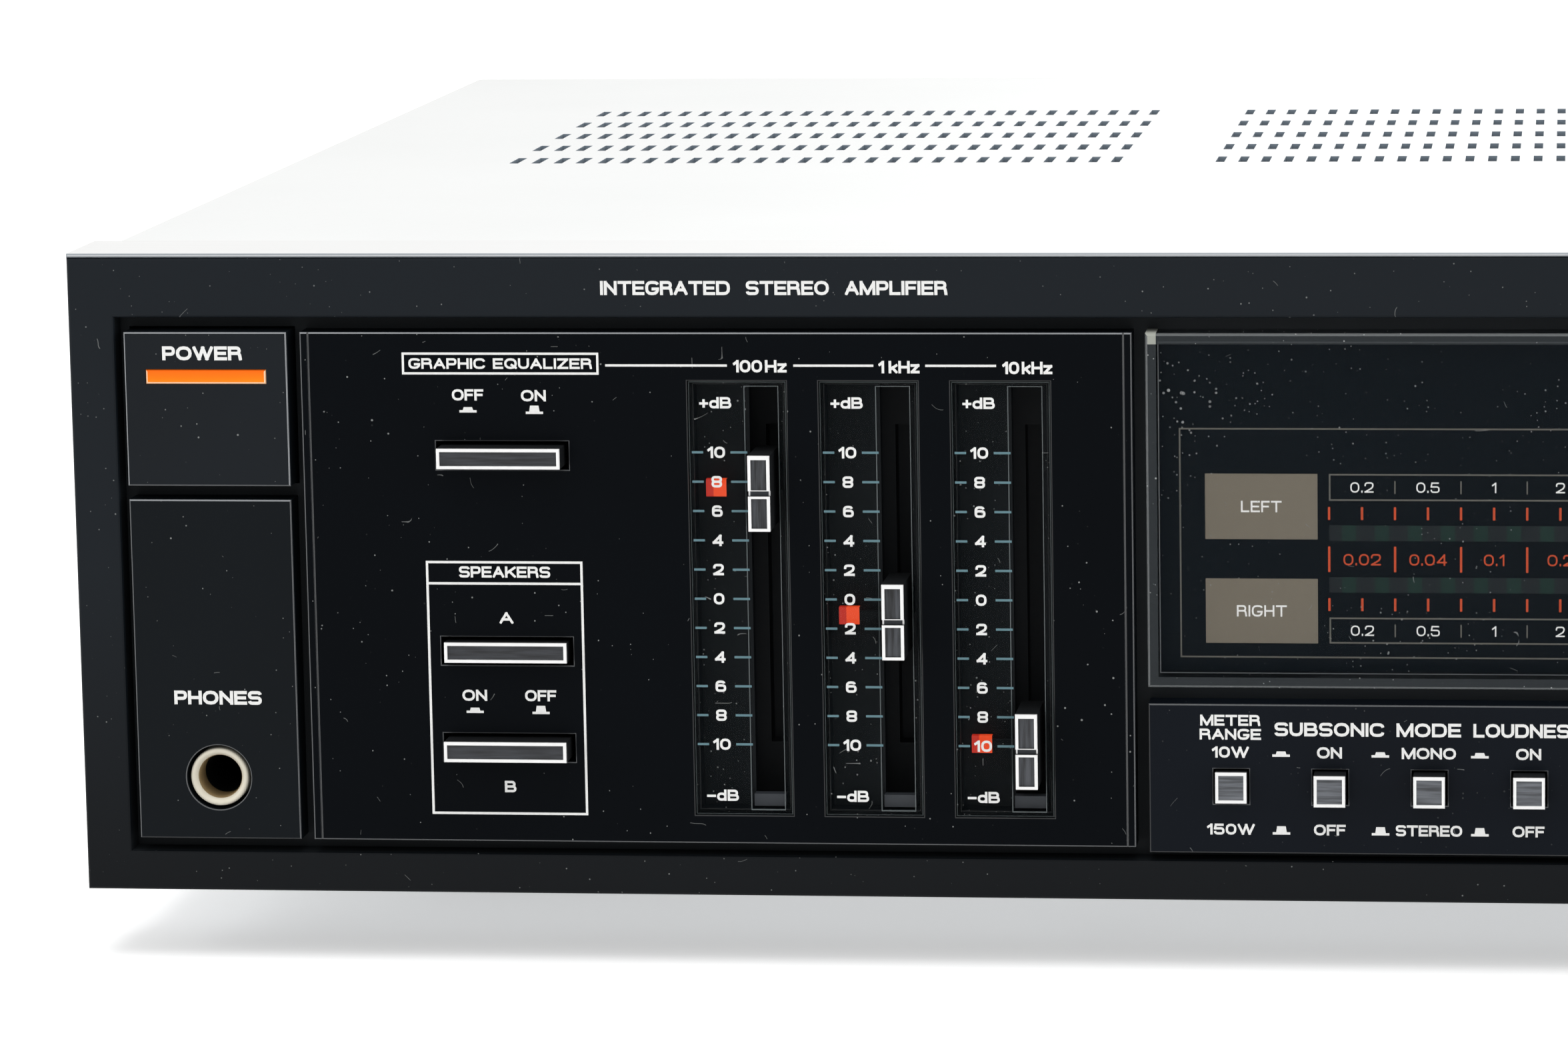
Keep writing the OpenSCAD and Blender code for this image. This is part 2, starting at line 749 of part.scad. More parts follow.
module eq_panel() {
  y = [-panel_proud - cut, recess_d + cut];
  insert_back = insert_t - insert_proud;
  color("#1a1f25") placed() difference() {
    block(eq_x, [-panel_proud, recess_d], panel_z);
    slim_openings(y);
    for (x = slider_xs) {
      bar([x - insert_shift, slider_cz], [insert_w, insert_h], [-panel_proud - cut, insert_back], slip / 2);
      bar([x - insert_shift, slider_cz], [insert_w, insert_h], y, -insert_ledge);
    }
    for (x = [eq_x[0] + rib_w + rib_groove / 2, eq_x[1] - rib_w - rib_groove / 2])
      block(about(x, rib_groove / 2), [-panel_proud - cut, rib_groove - panel_proud], grow(panel_z, cut));
  }
}

module phones_panel() {
  color("#171b1f") placed() difference() {
    block(phones_x, [-panel_proud, recess_d], phones_z);
    jack_opening([-panel_proud - cut, recess_d + cut]);
  }
}

module button_strip() {
  color("#1b212a") placed() difference() {
    block(meter_x, [-strip_proud, recess_d], strip_z);
    square_openings([-strip_proud - cut, recess_d + cut]);
  }
}

module volume_panel() {
  color("#171b1f") placed() difference() {
    block(volume_panel_x, [-panel_proud, recess_d], panel_z);
    shaft_openings([-panel_proud - cut, recess_d + cut]);
  }
}

module meter_window() {
  color("#30363c", 0.5) placed() difference() {
    block(meter_x, [-window_proud, recess_d], window_z);
    block(grow(meter_x, -window_wall), [window_t - window_proud, recess_d + cut],
          grow(window_z, -window_wall));
  }
}

module meter_scale() {
  color("#101418") placed()
    block(grow(meter_x, -window_wall - slip), [recess_d - scale_t, recess_d],
          grow(window_z, -window_wall - slip));
}

module scale_inserts() {
  y = [-insert_proud, insert_t - insert_proud];
  color("#14242a", 0.8) placed()
    for (x = slider_xs)
      difference() {
        bar([x - insert_shift, slider_cz], [insert_w, insert_h], y);
        bar([x, slider_cz], [slot_w, slot_h], grow(y, cut));
      }
}

// Buttons

module power_button() {
  stripe_at = [power_at[0], power_z[1] - stripe_drop];
  cavity_y0 = power_wall - power_proud;
  color("#15191d") placed() {
    difference() {
      bar(power_at, [phones_w, power_h], [-power_proud, power_back]);
      bar(power_at, [phones_w, power_h], [cavity_y0, power_back + cut], -power_wall);
      bar(stripe_at, [stripe_w, stripe_h], [-power_proud - cut, stripe_t - power_proud], slip / 4);
    }
    bar(power_at, power_stem, [cavity_y0 - power_wall / 4, stem_end]);
  }
}

module power_stripe() {
  color("#ff6a10") placed()
    bar([power_at[0], power_z[1] - stripe_drop], [stripe_w, stripe_h],
        [-power_proud, stripe_t - power_proud]);
}

// A slim latching button, pushed in by a given depth
module slim_button(z, pressed) {
  color("#c9cbcd") placed() translate([0, pressed, 0]) {
    bar([slim_cx, z], [slim_w, slim_h], [-slim_out, press_back]);
    bar([slim_cx, z], slim_stem, [press_back, stem_end]);
  }
}

module eq_button() {
  slim_button(slim_zs[0], 0);
}

module speaker_a_button() {
  slim_button(slim_zs[1], latch_travel);
}

module speaker_b_button() {
  slim_button(slim_zs[2], 0);
}

// A square latching button of the strip, pushed in by a given depth
module square_button(i, pressed) {
  at = [square_xs[i], square_cz];
  color("#d5d7d9") placed() translate([0, pressed, 0]) {
    bar(at, [square_w, square_w], [-square_out, press_back]);
    bar(at, square_stem, [press_back, stem_end]);
  }
}

module meter_range_button() {
  square_button(0, latch_travel);
}

module subsonic_button() {
  square_button(1, 0);
}

module mode_button() {
  square_button(2, 0);
}

module loudness_button() {
  square_button(3, 0);
}

module tape_1_button() {
  square_button(4, 0);
}

module tape_2_button() {
  square_button(5, 0);
}

// Sliders

// A slider knob on its stem, set above or below the zero mark
module slider(i, set) {
  at = [slider_xs[i], slider_cz + set];
  color("#24282c") placed() {
    difference() {
      bar(at, [slider_w, slider_h], [-slim_out, tray_y1]);
      bar(at, [slider_w + 2 * cut, slider_groove], [-slim_out - cut, slider_groove - slim_out]);
    }
    bar(at, slider_stem, [tray_y1, stem_end]);
  }
}

// The red pointer behind the smoked insert, on an arm from the knob's side
module slider_flag(i, set) {
  z = slider_cz + set;
  y0 = insert_t - insert_proud + stem_gap;
  x1 = slider_xs[i] - slider_w / 2;
  flag_x = about(slider_xs[i] - flag_shift, flag_w / 2);
  color("#e8401a") placed() {
    block(flag_x, [y0, y0 + flag_t], about(z, flag_h / 2));
    block([flag_x[1], x1], [y0, y0 + flag_t], about(z, flag_h / 4));
  }
}

module bass_slider() {
  slider(0, bass_set);
}

module mid_slider() {
  slider(1, mid_set);
}

module treble_slider() {
  slider(2, treble_set);
}

module bass_flag() {
  slider_flag(0, bass_set);
}

module mid_flag() {
  slider_flag(1, mid_set);
}

module treble_flag() {
  slider_flag(2, treble_set);
}

module balance_slider() {
  color("#c9cbcd") placed() {
    bar(balance_at, [balance_w, balance_h], [-square_out, tray_y1]);
    bar(balance_at, balance_stem, [tray_y1, stem_end]);
  }
}

// Knobs

// A turned knob with a skirt, its back at y = 0 and its face towards -Y
module knob(r, length, skirt_l, edge) {
  rotate([90, 0, 0])
    rotate_extrude()
      polygon([[0, 0], [r, 0], [r, skirt_l], [r - edge, skirt_l + edge], [r - edge, length - edge],
               [r - 2 * edge, length], [0, length]]);
}

module volume_knob() {
  back = -panel_proud - knob_gap;
  pointer_w = 1.6;
  color("#c4c7ca") placed() difference() {
    translate([volume_at[0], back, volume_at[1]])
      knob(volume_r, volume_l, 4, 1.2);
    rod(volume_at, shaft_r + run_fit, [back - volume_l * 0.7, back + cut]);
    block(about(volume_at[0], pointer_w / 2), about(back - volume_l, 0.6),
          [volume_at[1] + volume_r * 0.55, volume_at[1] + volume_r]);
  }
}

module volume_shaft() {
  back = -panel_proud - knob_gap;
  color("#b5b8bb") placed()
    rod(volume_at, shaft_r, [back - volume_l * 0.7 + slip, pot_y0 + pot_d / 2]);
}

module selector_knob() {
  back = -panel_proud - knob_gap;
  pointer_w = 1.4;
  color("#c4c7ca") placed() difference() {
    union() {
      translate([selector_at[0], back, selector_at[1]])
        knob(selector_r, selector_l, 3, 0.8);
      rod(selector_at, shaft_r, [back - cut, pot_y0 + pot_d / 2]);
    }
    block(about(selector_at[0], pointer_w / 2), about(back - selector_l, 0.6),
          [selector_at[1] + selector_r * 0.3, selector_at[1] + selector_r]);
  }
}

// Controls behind the front

module slide_pots() {
  slot_y = [pot_y0 - cut, pot_y0 + stem_in + stem_gap];
  pot_h = slider_travel + 2 * pot_end;
  balance_pot_w = balance_travel + 2 * balance_pot_end;
  color("#3a3d40") placed() {
    for (x = slider_xs)
      difference() {
        bar([x, slider_cz], [pot_w, pot_h], [pot_y0, board_y0]);
        bar([x, slider_cz], slider_stem + [0, slider_travel], slot_y, stem_gap);
      }
    difference() {
      bar(balance_at, [balance_pot_w, pot_w], [pot_y0, board_y0]);
      bar(balance_at, balance_stem + [balance_travel, 0], slot_y, stem_gap);
    }
  }
}

// A switch body with a guide hole for the stem of its button
module switch_body(at, size, depth, stem, hole_d) {
  difference() {
    bar(at, size, [pot_y0, pot_y0 + depth]);
    bar(at, stem, [pot_y0 - cut, pot_y0 + hole_d], stem_gap);
  }
}

module push_switches() {
  slim_body = [16, 9];
  square_body = [9, 12];
  power_body = [18, 16];
  power_body_d = 24;
  color("#e3dfd2") placed() {
    for (z = slim_zs)
      switch_body([slim_cx, z], slim_body, pot_d, slim_stem, press_hole_d);
    for (x = square_xs)
      switch_body([x, square_cz], square_body, pot_d, square_stem, press_hole_d);
    switch_body(power_at, power_body, power_body_d, power_stem, stem_in + power_travel + stem_gap);
  }
}

// Potentiometer and selector bodies with the bushes that carry their shafts
module rotary_body(at, r) {
  difference() {
    union() {
      rod(at, r, [pot_y0, board_y0]);
      rod(at, bush_r, [recess_d, pot_y0 + cut]);
    }
    rod(at, shaft_r + run_fit, [recess_d - cut, pot_y0 + pot_d / 2 + slip]);
  }
}

module rotary_pots() {
  color("#8f9499") placed() {
    rotary_body(volume_at, volume_pot_r);
    rotary_body(selector_at, selector_switch_r);
  }
}

module control_board() {
  color("#7a5a2a") placed()
    block([eq_x[0] + 1, volume_panel_x[1]], [board_y0, board_y0 + board_t],
          [panel_z[0] - 2, panel_z[1] + 2]);
}

module meter_board() {
  lamp_y = [recess_d, meter_pcb_y];
  pcb_y = [meter_pcb_y, meter_pcb_y + board_t];
  pillar_r = 2.5;
  color("#1f4a32") placed() {
    block(led_x, lamp_y, led_z);
    block(grow(meter_x, -4), pcb_y, grow(window_z, -4));
    for (x = grow(meter_x, -8), z = grow(window_z, -8))
      rod([x, z], pillar_r, [pcb_y[1], sub_y0]);
  }
}

module phones_jack() {
  body_w = 14;
  lead_in = 0.6;
  color("#e6ddc4") placed() difference() {
    union() {
      rod(jack_at, jack_nose_r, [-insert_proud, pot_y0 + cut]);
      bar(jack_at, [body_w, body_w], [pot_y0, pot_y0 + jack_body_l]);
    }
    rod(jack_at, jack_bore_r, [-insert_proud - cut, pot_y0 + jack_body_l - 6]);
    translate([jack_at[0], -insert_proud, jack_at[1]])
      rotate([-90, 0, 0])
        translate([0, 0, -lead_in])
          cylinder(r1 = jack_bore_r + 2 * lead_in, r2 = jack_bore_r, h = 2 * lead_in);
  }
}

// Back

module phono_sockets() {
  color("#c7a24a") placed()
    for (x = phono_xs, z = phono_zs)
      difference() {
        union() {
          bar([x, z], [phono_body, phono_body], [case_d - phono_body, case_d]);
          rod([x, z], phono_neck_r, [case_d - cut, rear_y]);
          rod([x, z], phono_r, [case_d, rear_y + phono_l]);
        }
        rod([x, z], phono_bore_r, [rear_y + 1, rear_y + phono_l + cut]);
      }
}

// Cells of the terminal block, as the [x, z] of each cell's lower middle
term_cells = [
  for (row = [0, 1], col = [0:term_cols - 1])
  [term_block_x[0] + term_border + (col + 0.5) * term_pitch,
   term_block_z[0] + term_border + row * term_cell_h]
];
wire_rise = 4;
lever_rise = 8;

// Tray of the speaker terminals, held in the rear panel by its boss
module terminal_block() {
  color("#1b1c1e") placed() difference() {
    union() {
      block(term_block_x, [rear_y, term_face], term_block_z);
      block(grow(term_block_x, -5), [case_d - 3, rear_y + cut], grow(term_block_z, -5));
    }
    block(grow(term_block_x, slip / 2 - term_border), [term_seat, term_face + cut],
          grow(term_block_z, slip / 2 - term_border));
  }
}

// Cells seated in the tray, each with a wire hole, a lever pocket and its pivot holes
module terminal_cells() {
  color("#2a2c2e") placed()
    for (c = term_cells) {
      pivot_z = c[1] + lever_rise + pivot_rise;
      difference() {
        block(about(c[0], (term_pitch - slip) / 2), [term_seat, term_face],
              grow([c[1], c[1] + term_cell_h], -slip / 2));
        rod([c[0], c[1] + wire_rise], wire_r, [wire_floor, term_face + cut]);
        block(about(c[0], lever_w / 2 + lever_gap), [lever_floor, term_face + cut],
              grow([pivot_z - lever_low_swing, pivot_z + lever_high_swing], lever_gap));
        cross_rod([lever_face - lever_t / 2, pivot_z], pivot_r + run_fit,
                  about(c[0], lever_w / 2 + lever_gap + pivot_grip));
      }
    }
}

// A spring lever with its pivot pin; pushing its upper end in frees the wire
module speaker_lever(i) {
  c = term_cells[i];
  z0 = c[1] + lever_rise;
  pivot = [lever_face - lever_t / 2, z0 + pivot_rise];
  color(i % 2 == 0 ? "#b3201c" : "#26282b") placed() {
    difference() {
      block(about(c[0], lever_w / 2), [lever_face - lever_t, lever_face], [z0, z0 + lever_h]);
      cross_rod([lever_face + lever_t * 0.9, z0 + lever_h * 0.6], lever_t * 1.2,
                about(c[0], lever_w / 2 - 1));
    }
    cross_rod(pivot, pivot_r, about(c[0], lever_w / 2 + lever_gap + pivot_grip - slip));
  }
}

module earth_screw() {
  head_y0 = rear_y + stem_gap;
  color("#d2d4d6") placed() {
    rod(earth_at, earth_r, [head_y0, head_y0 + earth_head_l]);
    rod(earth_at, earth_shank_r, [case_d - 8, head_y0 + cut]);
  }
}

module mains_gland() {
  color("#1b1c1e") placed() difference() {
    union() {
      rod(gland_at, gland_barrel_r, [case_d - 4 * gland_flange, rear_y + cut]);
      rod(gland_at, gland_barrel_r + gland_flange, [rear_y, rear_y + 2 * gland_flange]);
      rod(gland_at, gland_barrel_r + gland_flange, [case_d - gland_flange, case_d]);
    }
    rod(gland_at, gland_bore_r, [case_d - 4 * gland_flange - cut, rear_y + 2 * gland_flange + cut]);
  }
}

// Inside

core_x = core_side - chassis_half;
main_x = chassis_half - main_side;

module transformer_core() {
  core_z = [floor_z, floor_z + core_h];
  plate_t = 2;
  foot_out = 6;
  color("#55585c") placed() {
    difference() {
      block(about(core_x, core_w / 2), about(core_y, core_d / 2), core_z);
      for (s = [-1, 1])
        block(about(core_x + s * core_w / 4, core_w / 4 - core_leg), about(core_y, core_d / 2 + cut),
              grow(core_z, -core_leg));
    }
    block(about(core_x, core_w / 2 + foot_out), about(core_y, core_d / 2), [floor_z, floor_z + plate_t]);
  }
}

// The winding round the core's middle leg, inside both windows
module transformer_coil() {
  window_x = core_w / 2 - core_leg;
  winding_t = core_w / 2 - 2 * core_leg - 2 * slip;
  inner = [core_leg + slip, core_d / 2 + slip];
  coil_z = grow([floor_z + core_leg, floor_z + core_h - core_leg], -slip);
  color("#9a4f2a") placed() difference() {
    block(about(core_x, window_x - slip), about(core_y, inner[1] + winding_t), coil_z);
    block(about(core_x, inner[0]), about(core_y, inner[1]), grow(coil_z, cut));
  }
}

sink_base_t = 6;

module heat_sink() {
  sink_z = [floor_z, floor_z + sink_h];
  fin_pitch = (sink_w - fin_t) / (fins - 1);
  color("#2d2f31") placed() {
    block(about(sink_x, sink_w / 2), [sink_y, sink_y + sink_base_t], sink_z);
    for (i = [0:fins - 1])
      translate([sink_x - sink_w / 2 + i * fin_pitch, sink_y + sink_base_t / 2, floor_z])
        cube([fin_t, sink_base_t / 2 + fin_d, sink_h]);
  }
}

module power_modules() {
  color("#191a1b") placed()
    for (s = [-1, 1])
      bar([sink_x + s * sink_w / 4, floor_z + sink_h / 2], [module_w, module_h], [sink_y - module_t, sink_y]);
}

main_y = [case_d - main_gap - main_d, case_d - main_gap];
main_xs = about(main_x, main_w / 2);
main_z = floor_z + pillar_h;

module main_board() {
  pillar_r = 3;
  color("#8a6a34") placed() {
    block(main_xs, main_y, [main_z, main_z + board_t]);
    for (x = grow(main_xs, -8), y = grow(main_y, -8))
      post([x, y], pillar_r, [floor_z, main_z]);
    for (i = [0:2])
      translate([main_x - main_w / 3 + i * 1.4 * relay_w, main_y[1] - 2.5 * relay_d, main_z + board_t])
        cube([relay_w, relay_d, relay_h]);
  }
}

module filter_capacitors() {
  color("#2f4a7a") placed()
    for (s = [-1, 1])
      post([main_x + main_w / 4 + s * 1.15 * cap_r, main_y[0] + 1.4 * cap_r], cap_r,
           [main_z + board_t, main_z + board_t + cap_h]);
}

chassis_base();
rear_panel();
front_subframe();
front_panel();
front_trim();
top_cover();
eq_panel();
phones_panel();
button_strip();
volume_panel();
meter_window();
meter_scale();
scale_inserts();
feet();
case_screws();
power_button();
power_stripe();
eq_button();
speaker_a_button();
speaker_b_button();
bass_slider();
mid_slider();
treble_slider();
bass_flag();
mid_flag();
treble_flag();
meter_range_button();
subsonic_button();
mode_button();
loudness_button();
tape_1_button();
tape_2_button();
balance_slider();
selector_knob();
volume_knob();
volume_shaft();
speaker_lever(0);  // speaker_lever_1
speaker_lever(1);  // speaker_lever_2
speaker_lever(2);  // speaker_lever_3
speaker_lever(3);  // speaker_lever_4
speaker_lever(4);  // speaker_lever_5
speaker_lever(5);  // speaker_lever_6
speaker_lever(6);  // speaker_lever_7
speaker_lever(7);  // speaker_lever_8
earth_screw();
transformer_core();
transformer_coil();
heat_sink();
power_modules();
main_board();
filter_capacitors();
control_board();
slide_pots();
push_switches();
meter_board();
rotary_pots();
phones_jack();
phono_sockets();
terminal_block();
terminal_cells();
mains_gland();
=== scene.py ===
"""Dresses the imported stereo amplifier: bevelled panels, printed legends, meters, knobs and sockets."""
import json
import math

import bmesh
import bpy
from bpy.props import FloatProperty, FloatVectorProperty, IntProperty, PointerProperty
from mathutils import Matrix, Vector


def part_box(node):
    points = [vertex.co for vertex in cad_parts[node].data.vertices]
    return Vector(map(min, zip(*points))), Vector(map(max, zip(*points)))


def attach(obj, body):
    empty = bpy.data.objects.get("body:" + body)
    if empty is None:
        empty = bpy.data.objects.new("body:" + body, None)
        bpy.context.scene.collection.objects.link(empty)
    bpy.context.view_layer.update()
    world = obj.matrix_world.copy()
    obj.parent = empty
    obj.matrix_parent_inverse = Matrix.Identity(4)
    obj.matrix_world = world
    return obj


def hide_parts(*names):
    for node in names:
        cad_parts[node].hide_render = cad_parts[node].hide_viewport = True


bl_info = {
    "name": "Stereo Amplifier",
    "version": (1, 0, 0),
    "blender": (4, 5, 0),
    "location": "3D View > Sidebar > Amplifier",
    "description": "Dresses the CAD frame of a stereo amplifier with an equaliser and bar meters",
    "category": "Object",
}

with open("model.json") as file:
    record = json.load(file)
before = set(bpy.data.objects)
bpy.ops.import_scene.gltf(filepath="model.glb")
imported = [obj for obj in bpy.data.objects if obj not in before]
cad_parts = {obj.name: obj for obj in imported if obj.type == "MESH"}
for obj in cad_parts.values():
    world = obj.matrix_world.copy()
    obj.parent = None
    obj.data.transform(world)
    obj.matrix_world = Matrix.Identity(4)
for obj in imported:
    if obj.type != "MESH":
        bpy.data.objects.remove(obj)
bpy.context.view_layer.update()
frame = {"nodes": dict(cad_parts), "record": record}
MM = 0.001
BODY_OF = {n: body for body, nodes in frame["record"]["behaviour"]["bodies"].items() for n in nodes}
FACE_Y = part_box("front_panel")[0].y
REAR_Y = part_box("rear_panel")[1].y
FRONT = Matrix.Rotation(math.radians(90), 4, "X")
REAR = Matrix.Rotation(math.radians(180), 4, "Z") @ FRONT

# Two places less than a hundredth of a millimetre apart are taken as one
SAME = 1e-5
# What lies within this of a limit lies at it, and loose triangles this near are joined
TINY = 1e-6
# Points of a new shape that are this near are one point
WELD = 1e-7
# What is no deeper than this belongs to a piece's front or back face
SKIN = 0.05 * MM
# A face looks along an axis when its normal has more than this share along it
FACING = 0.9

# The surfaces that carry print, in millimetres behind the moulding's face, with a hair to spare; less than
# 0 is before it. The last is behind the rear panel
MOULDING_PRINT = -0.01
POWER_PRINT = -0.91
PANEL_PRINT = -0.81
INSERT_PRINT = -0.52
STRIP_PRINT = -0.61
SCALE_PRINT = 2.78
REAR_PRINT = 0.01

# Steps of what repeats across the front, in millimetres
SLIDER_STEP = 19.6
DECIBEL_STEP = 4.41
BUTTON_STEP = 14.65
METER_STEP = 9.7

# Vent slots of the cover, in millimetres: the middle of each block and its slots in a row, then the rows
VENT_BLOCKS = ((-125.85, 28), (0.0, 30), (125.85, 28))
VENT_STEP = 3.855
VENT_FIRST_ROW = FACE_Y / MM + 141.0
VENT_ROW_STEP = 21.9
VENT_ROWS = 5
VENT_WIDTH = 1.5
VENT_LENGTH = 9.3

# The photograph's camera: place in metres; yaw, pitch and roll in degrees; lens in millimetres; shift
CAMERA_PLACE = (0.00334, -0.96205, 0.2037)
CAMERA_TURN = (-5.652, -8.143, -0.698)
CAMERA_LENS = 128.8
CAMERA_SHIFT = (-0.15, -0.08)


def linear(code):
    """A colour written as sRGB hex, as linear RGBA."""
    parts = [int(code[i:i + 2], 16) / 255 for i in (1, 3, 5)]
    return tuple(p / 12.92 if p <= 0.04045 else ((p + 0.055) / 1.055) ** 2.4 for p in parts) + (1.0,)


def length_prop(name, description, millimetres):
    """A length in a property group, given in millimetres and kept in metres."""
    return FloatProperty(name=name, description=description, default=millimetres * MM, min=0.0,
                         unit="LENGTH", precision=6)


def colour_prop(name, description, code):
    """A colour in a property group, given as sRGB hex."""
    return FloatVectorProperty(name=name, description=description, default=linear(code), size=4,
                               min=0.0, max=1.0, subtype="COLOR")


class AmplifierSizes(bpy.types.PropertyGroup):
    """Small sizes of the looks; the main sizes come from the CAD frame."""
    panel_edge: length_prop("Panel edge", "Bevel along the front edges of the panels", 0.2)
    mould_edge: length_prop("Moulding edge", "Bevel along the front edges of the moulding", 0.4)
    opening_edge: length_prop("Opening edge", "Bevel round the button openings", 0.14)
    acrylic_edge: length_prop("Acrylic edge", "Bevel along the meter window's edges", 0.36)
    insert_edge: length_prop("Insert edge", "Bevel round a scale insert", 0.14)
    cap_rim: length_prop("Cap rim", "Width of the bright rim on a push button", 0.38)
    cap_wrap: length_prop("Cap wrap", "How far the bright foil goes round a cap's sides", 0.4)
    cap_sink: length_prop("Cap sink", "How far a button's centre lies behind its rim", 0.3)
    ink: length_prop("Ink", "Thickness of the printed legends", 0.04)
    bend: length_prop("Bend radius", "Outer radius of the cover's side bends", 2.2)
    ribs: IntProperty(name="Knob ribs", description="Grip ribs round the volume knob", default=96, min=24)


class AmplifierColours(bpy.types.PropertyGroup):
    """Colours of the finishes."""
    moulding: colour_prop("Moulding", "Front moulding", "#171c21")
    panel: colour_prop("Panel", "Equaliser and volume panels", "#070a0e")
    worn: colour_prop("Worn plastic", "Power button", "#11161b")
    # A painted highlight: the colour of the light lines along the panels' edges
    edge: colour_prop("Edge", "Light lines along the edges of the panels", "#8b8e91")
    strip: colour_prop("Strip", "Strip of the square buttons", "#0c1118")
    cover: colour_prop("Cover", "Baked paint of the cover", "#e9eae9")
    stripe: colour_prop("Stripe", "Stripe on the power button, at its foot", "#ff8a14")
    stripe_top: colour_prop("Stripe top", "Stripe on the power button, at its top", "#ff6412")
    # The flag's dark third is painted shade
    flag_dark: colour_prop("Flag, dark part", "Left third of a slider's flag", "#d8301e")
    flag_light: colour_prop("Flag, light part", "Rest of a slider's flag", "#ff5224")
    rim: colour_prop("Rim", "Bright rims of the caps", "#fbfbfa")
    cap_slim: colour_prop("Slim cap", "Brushed centres of the slim buttons", "#2b2d31")
    cap_square: colour_prop("Square cap", "Brushed centres of the square buttons", "#5a5d62")
    cap_slider: colour_prop("Slider cap", "Brushed centres of the sliders", "#37393d")
    white_ink: colour_prop("White ink", "Printed legends", "#f6f6f4")
    tick_ink: colour_prop("Tick ink", "Ticks of the slider scales", "#5f838c")
    taupe_ink: colour_prop("Taupe ink", "Boxes on the meter scale", "#7d7566")
    orange_ink: colour_prop("Orange ink", "Ticks and numbers on the meter scale", "#d9501f")
    green_ink: colour_prop("Green lamp", "Unlit segments of the meters", "#1b322c")
    ivory: colour_prop("Ivory", "Headphone jack", "#ded8c6")
    aluminium: colour_prop("Aluminium", "Knobs", "#babdc1")
    floor: colour_prop("Floor", "Studio floor", "#f7f7f7")


class AmplifierStage(bpy.types.PropertyGroup):
    """Light levels of the studio."""
    key: FloatProperty(name="Key", description="Power of the top softbox", default=15.5, min=0.0,
                       unit="POWER")
    side: FloatProperty(name="Side", description="Power of each side softbox", default=7.5, min=0.0,
                        unit="POWER")
    lift: FloatProperty(name="Lift", description="How far the floor is lifted to white for the camera",
                        default=0.42, min=0.0)
    sky: FloatProperty(name="Sky", description="Level of the even light round the stage", default=0.5,
                       min=0.0)


def add(tree, kind, settings=None, inputs=None):
    """Adds a node with its settings; an input is a value, or a (node, output) pair to link."""
    made = tree.nodes.new("ShaderNode" + kind)
    for name, value in (settings or {}).items():
        setattr(made, name, value)
    for name, value in (inputs or {}).items():
        if isinstance(value, tuple) and isinstance(value[0], bpy.types.Node):
            tree.links.new(value[0].outputs[value[1]], made.inputs[name])
        else:
            made.inputs[name].default_value = value
    return made


def surface(name, **sockets):
    """A material with one principled shader, its tree and its Object coordinates."""
    material = bpy.data.materials.new(name)
    material.use_nodes = True
    tree = material.node_tree
    shader = tree.nodes["Principled BSDF"]
    for socket, value in sockets.items():
        shader.inputs[socket.replace("_", " ")].default_value = value
    place = (add(tree, "TexCoord"), "Object")
    return material, tree, shader, place


def wire(tree, shader, tone, sheen, bump=None):
    """Links a colour, a roughness and, where there is one, a bump to the shader."""
    tree.links.new(tone.outputs[2], shader.inputs["Base Color"])
    tree.links.new(sheen.outputs["Result"], shader.inputs["Roughness"])
    if bump is not None:
        tree.links.new(bump.outputs["Normal"], shader.inputs["Normal"])


def seen_straight(tree):
    """Tells a ray that shows the stage to the camera, straight, through acrylic or off a gloss."""
    ray = add(tree, "LightPath")
    straight = add(tree, "Math", {"operation": "MAXIMUM"},
                   {0: (ray, "Is Camera Ray"), 1: (ray, "Is Transmission Ray")})
    return add(tree, "Math", {"operation": "MAXIMUM"},
               {0: (straight, "Value"), 1: (ray, "Is Glossy Ray")})


def shade(colour, factor):
    """The colour made lighter or darker."""
    return tuple(min(1.0, c * factor) for c in colour[:3]) + (1.0,)


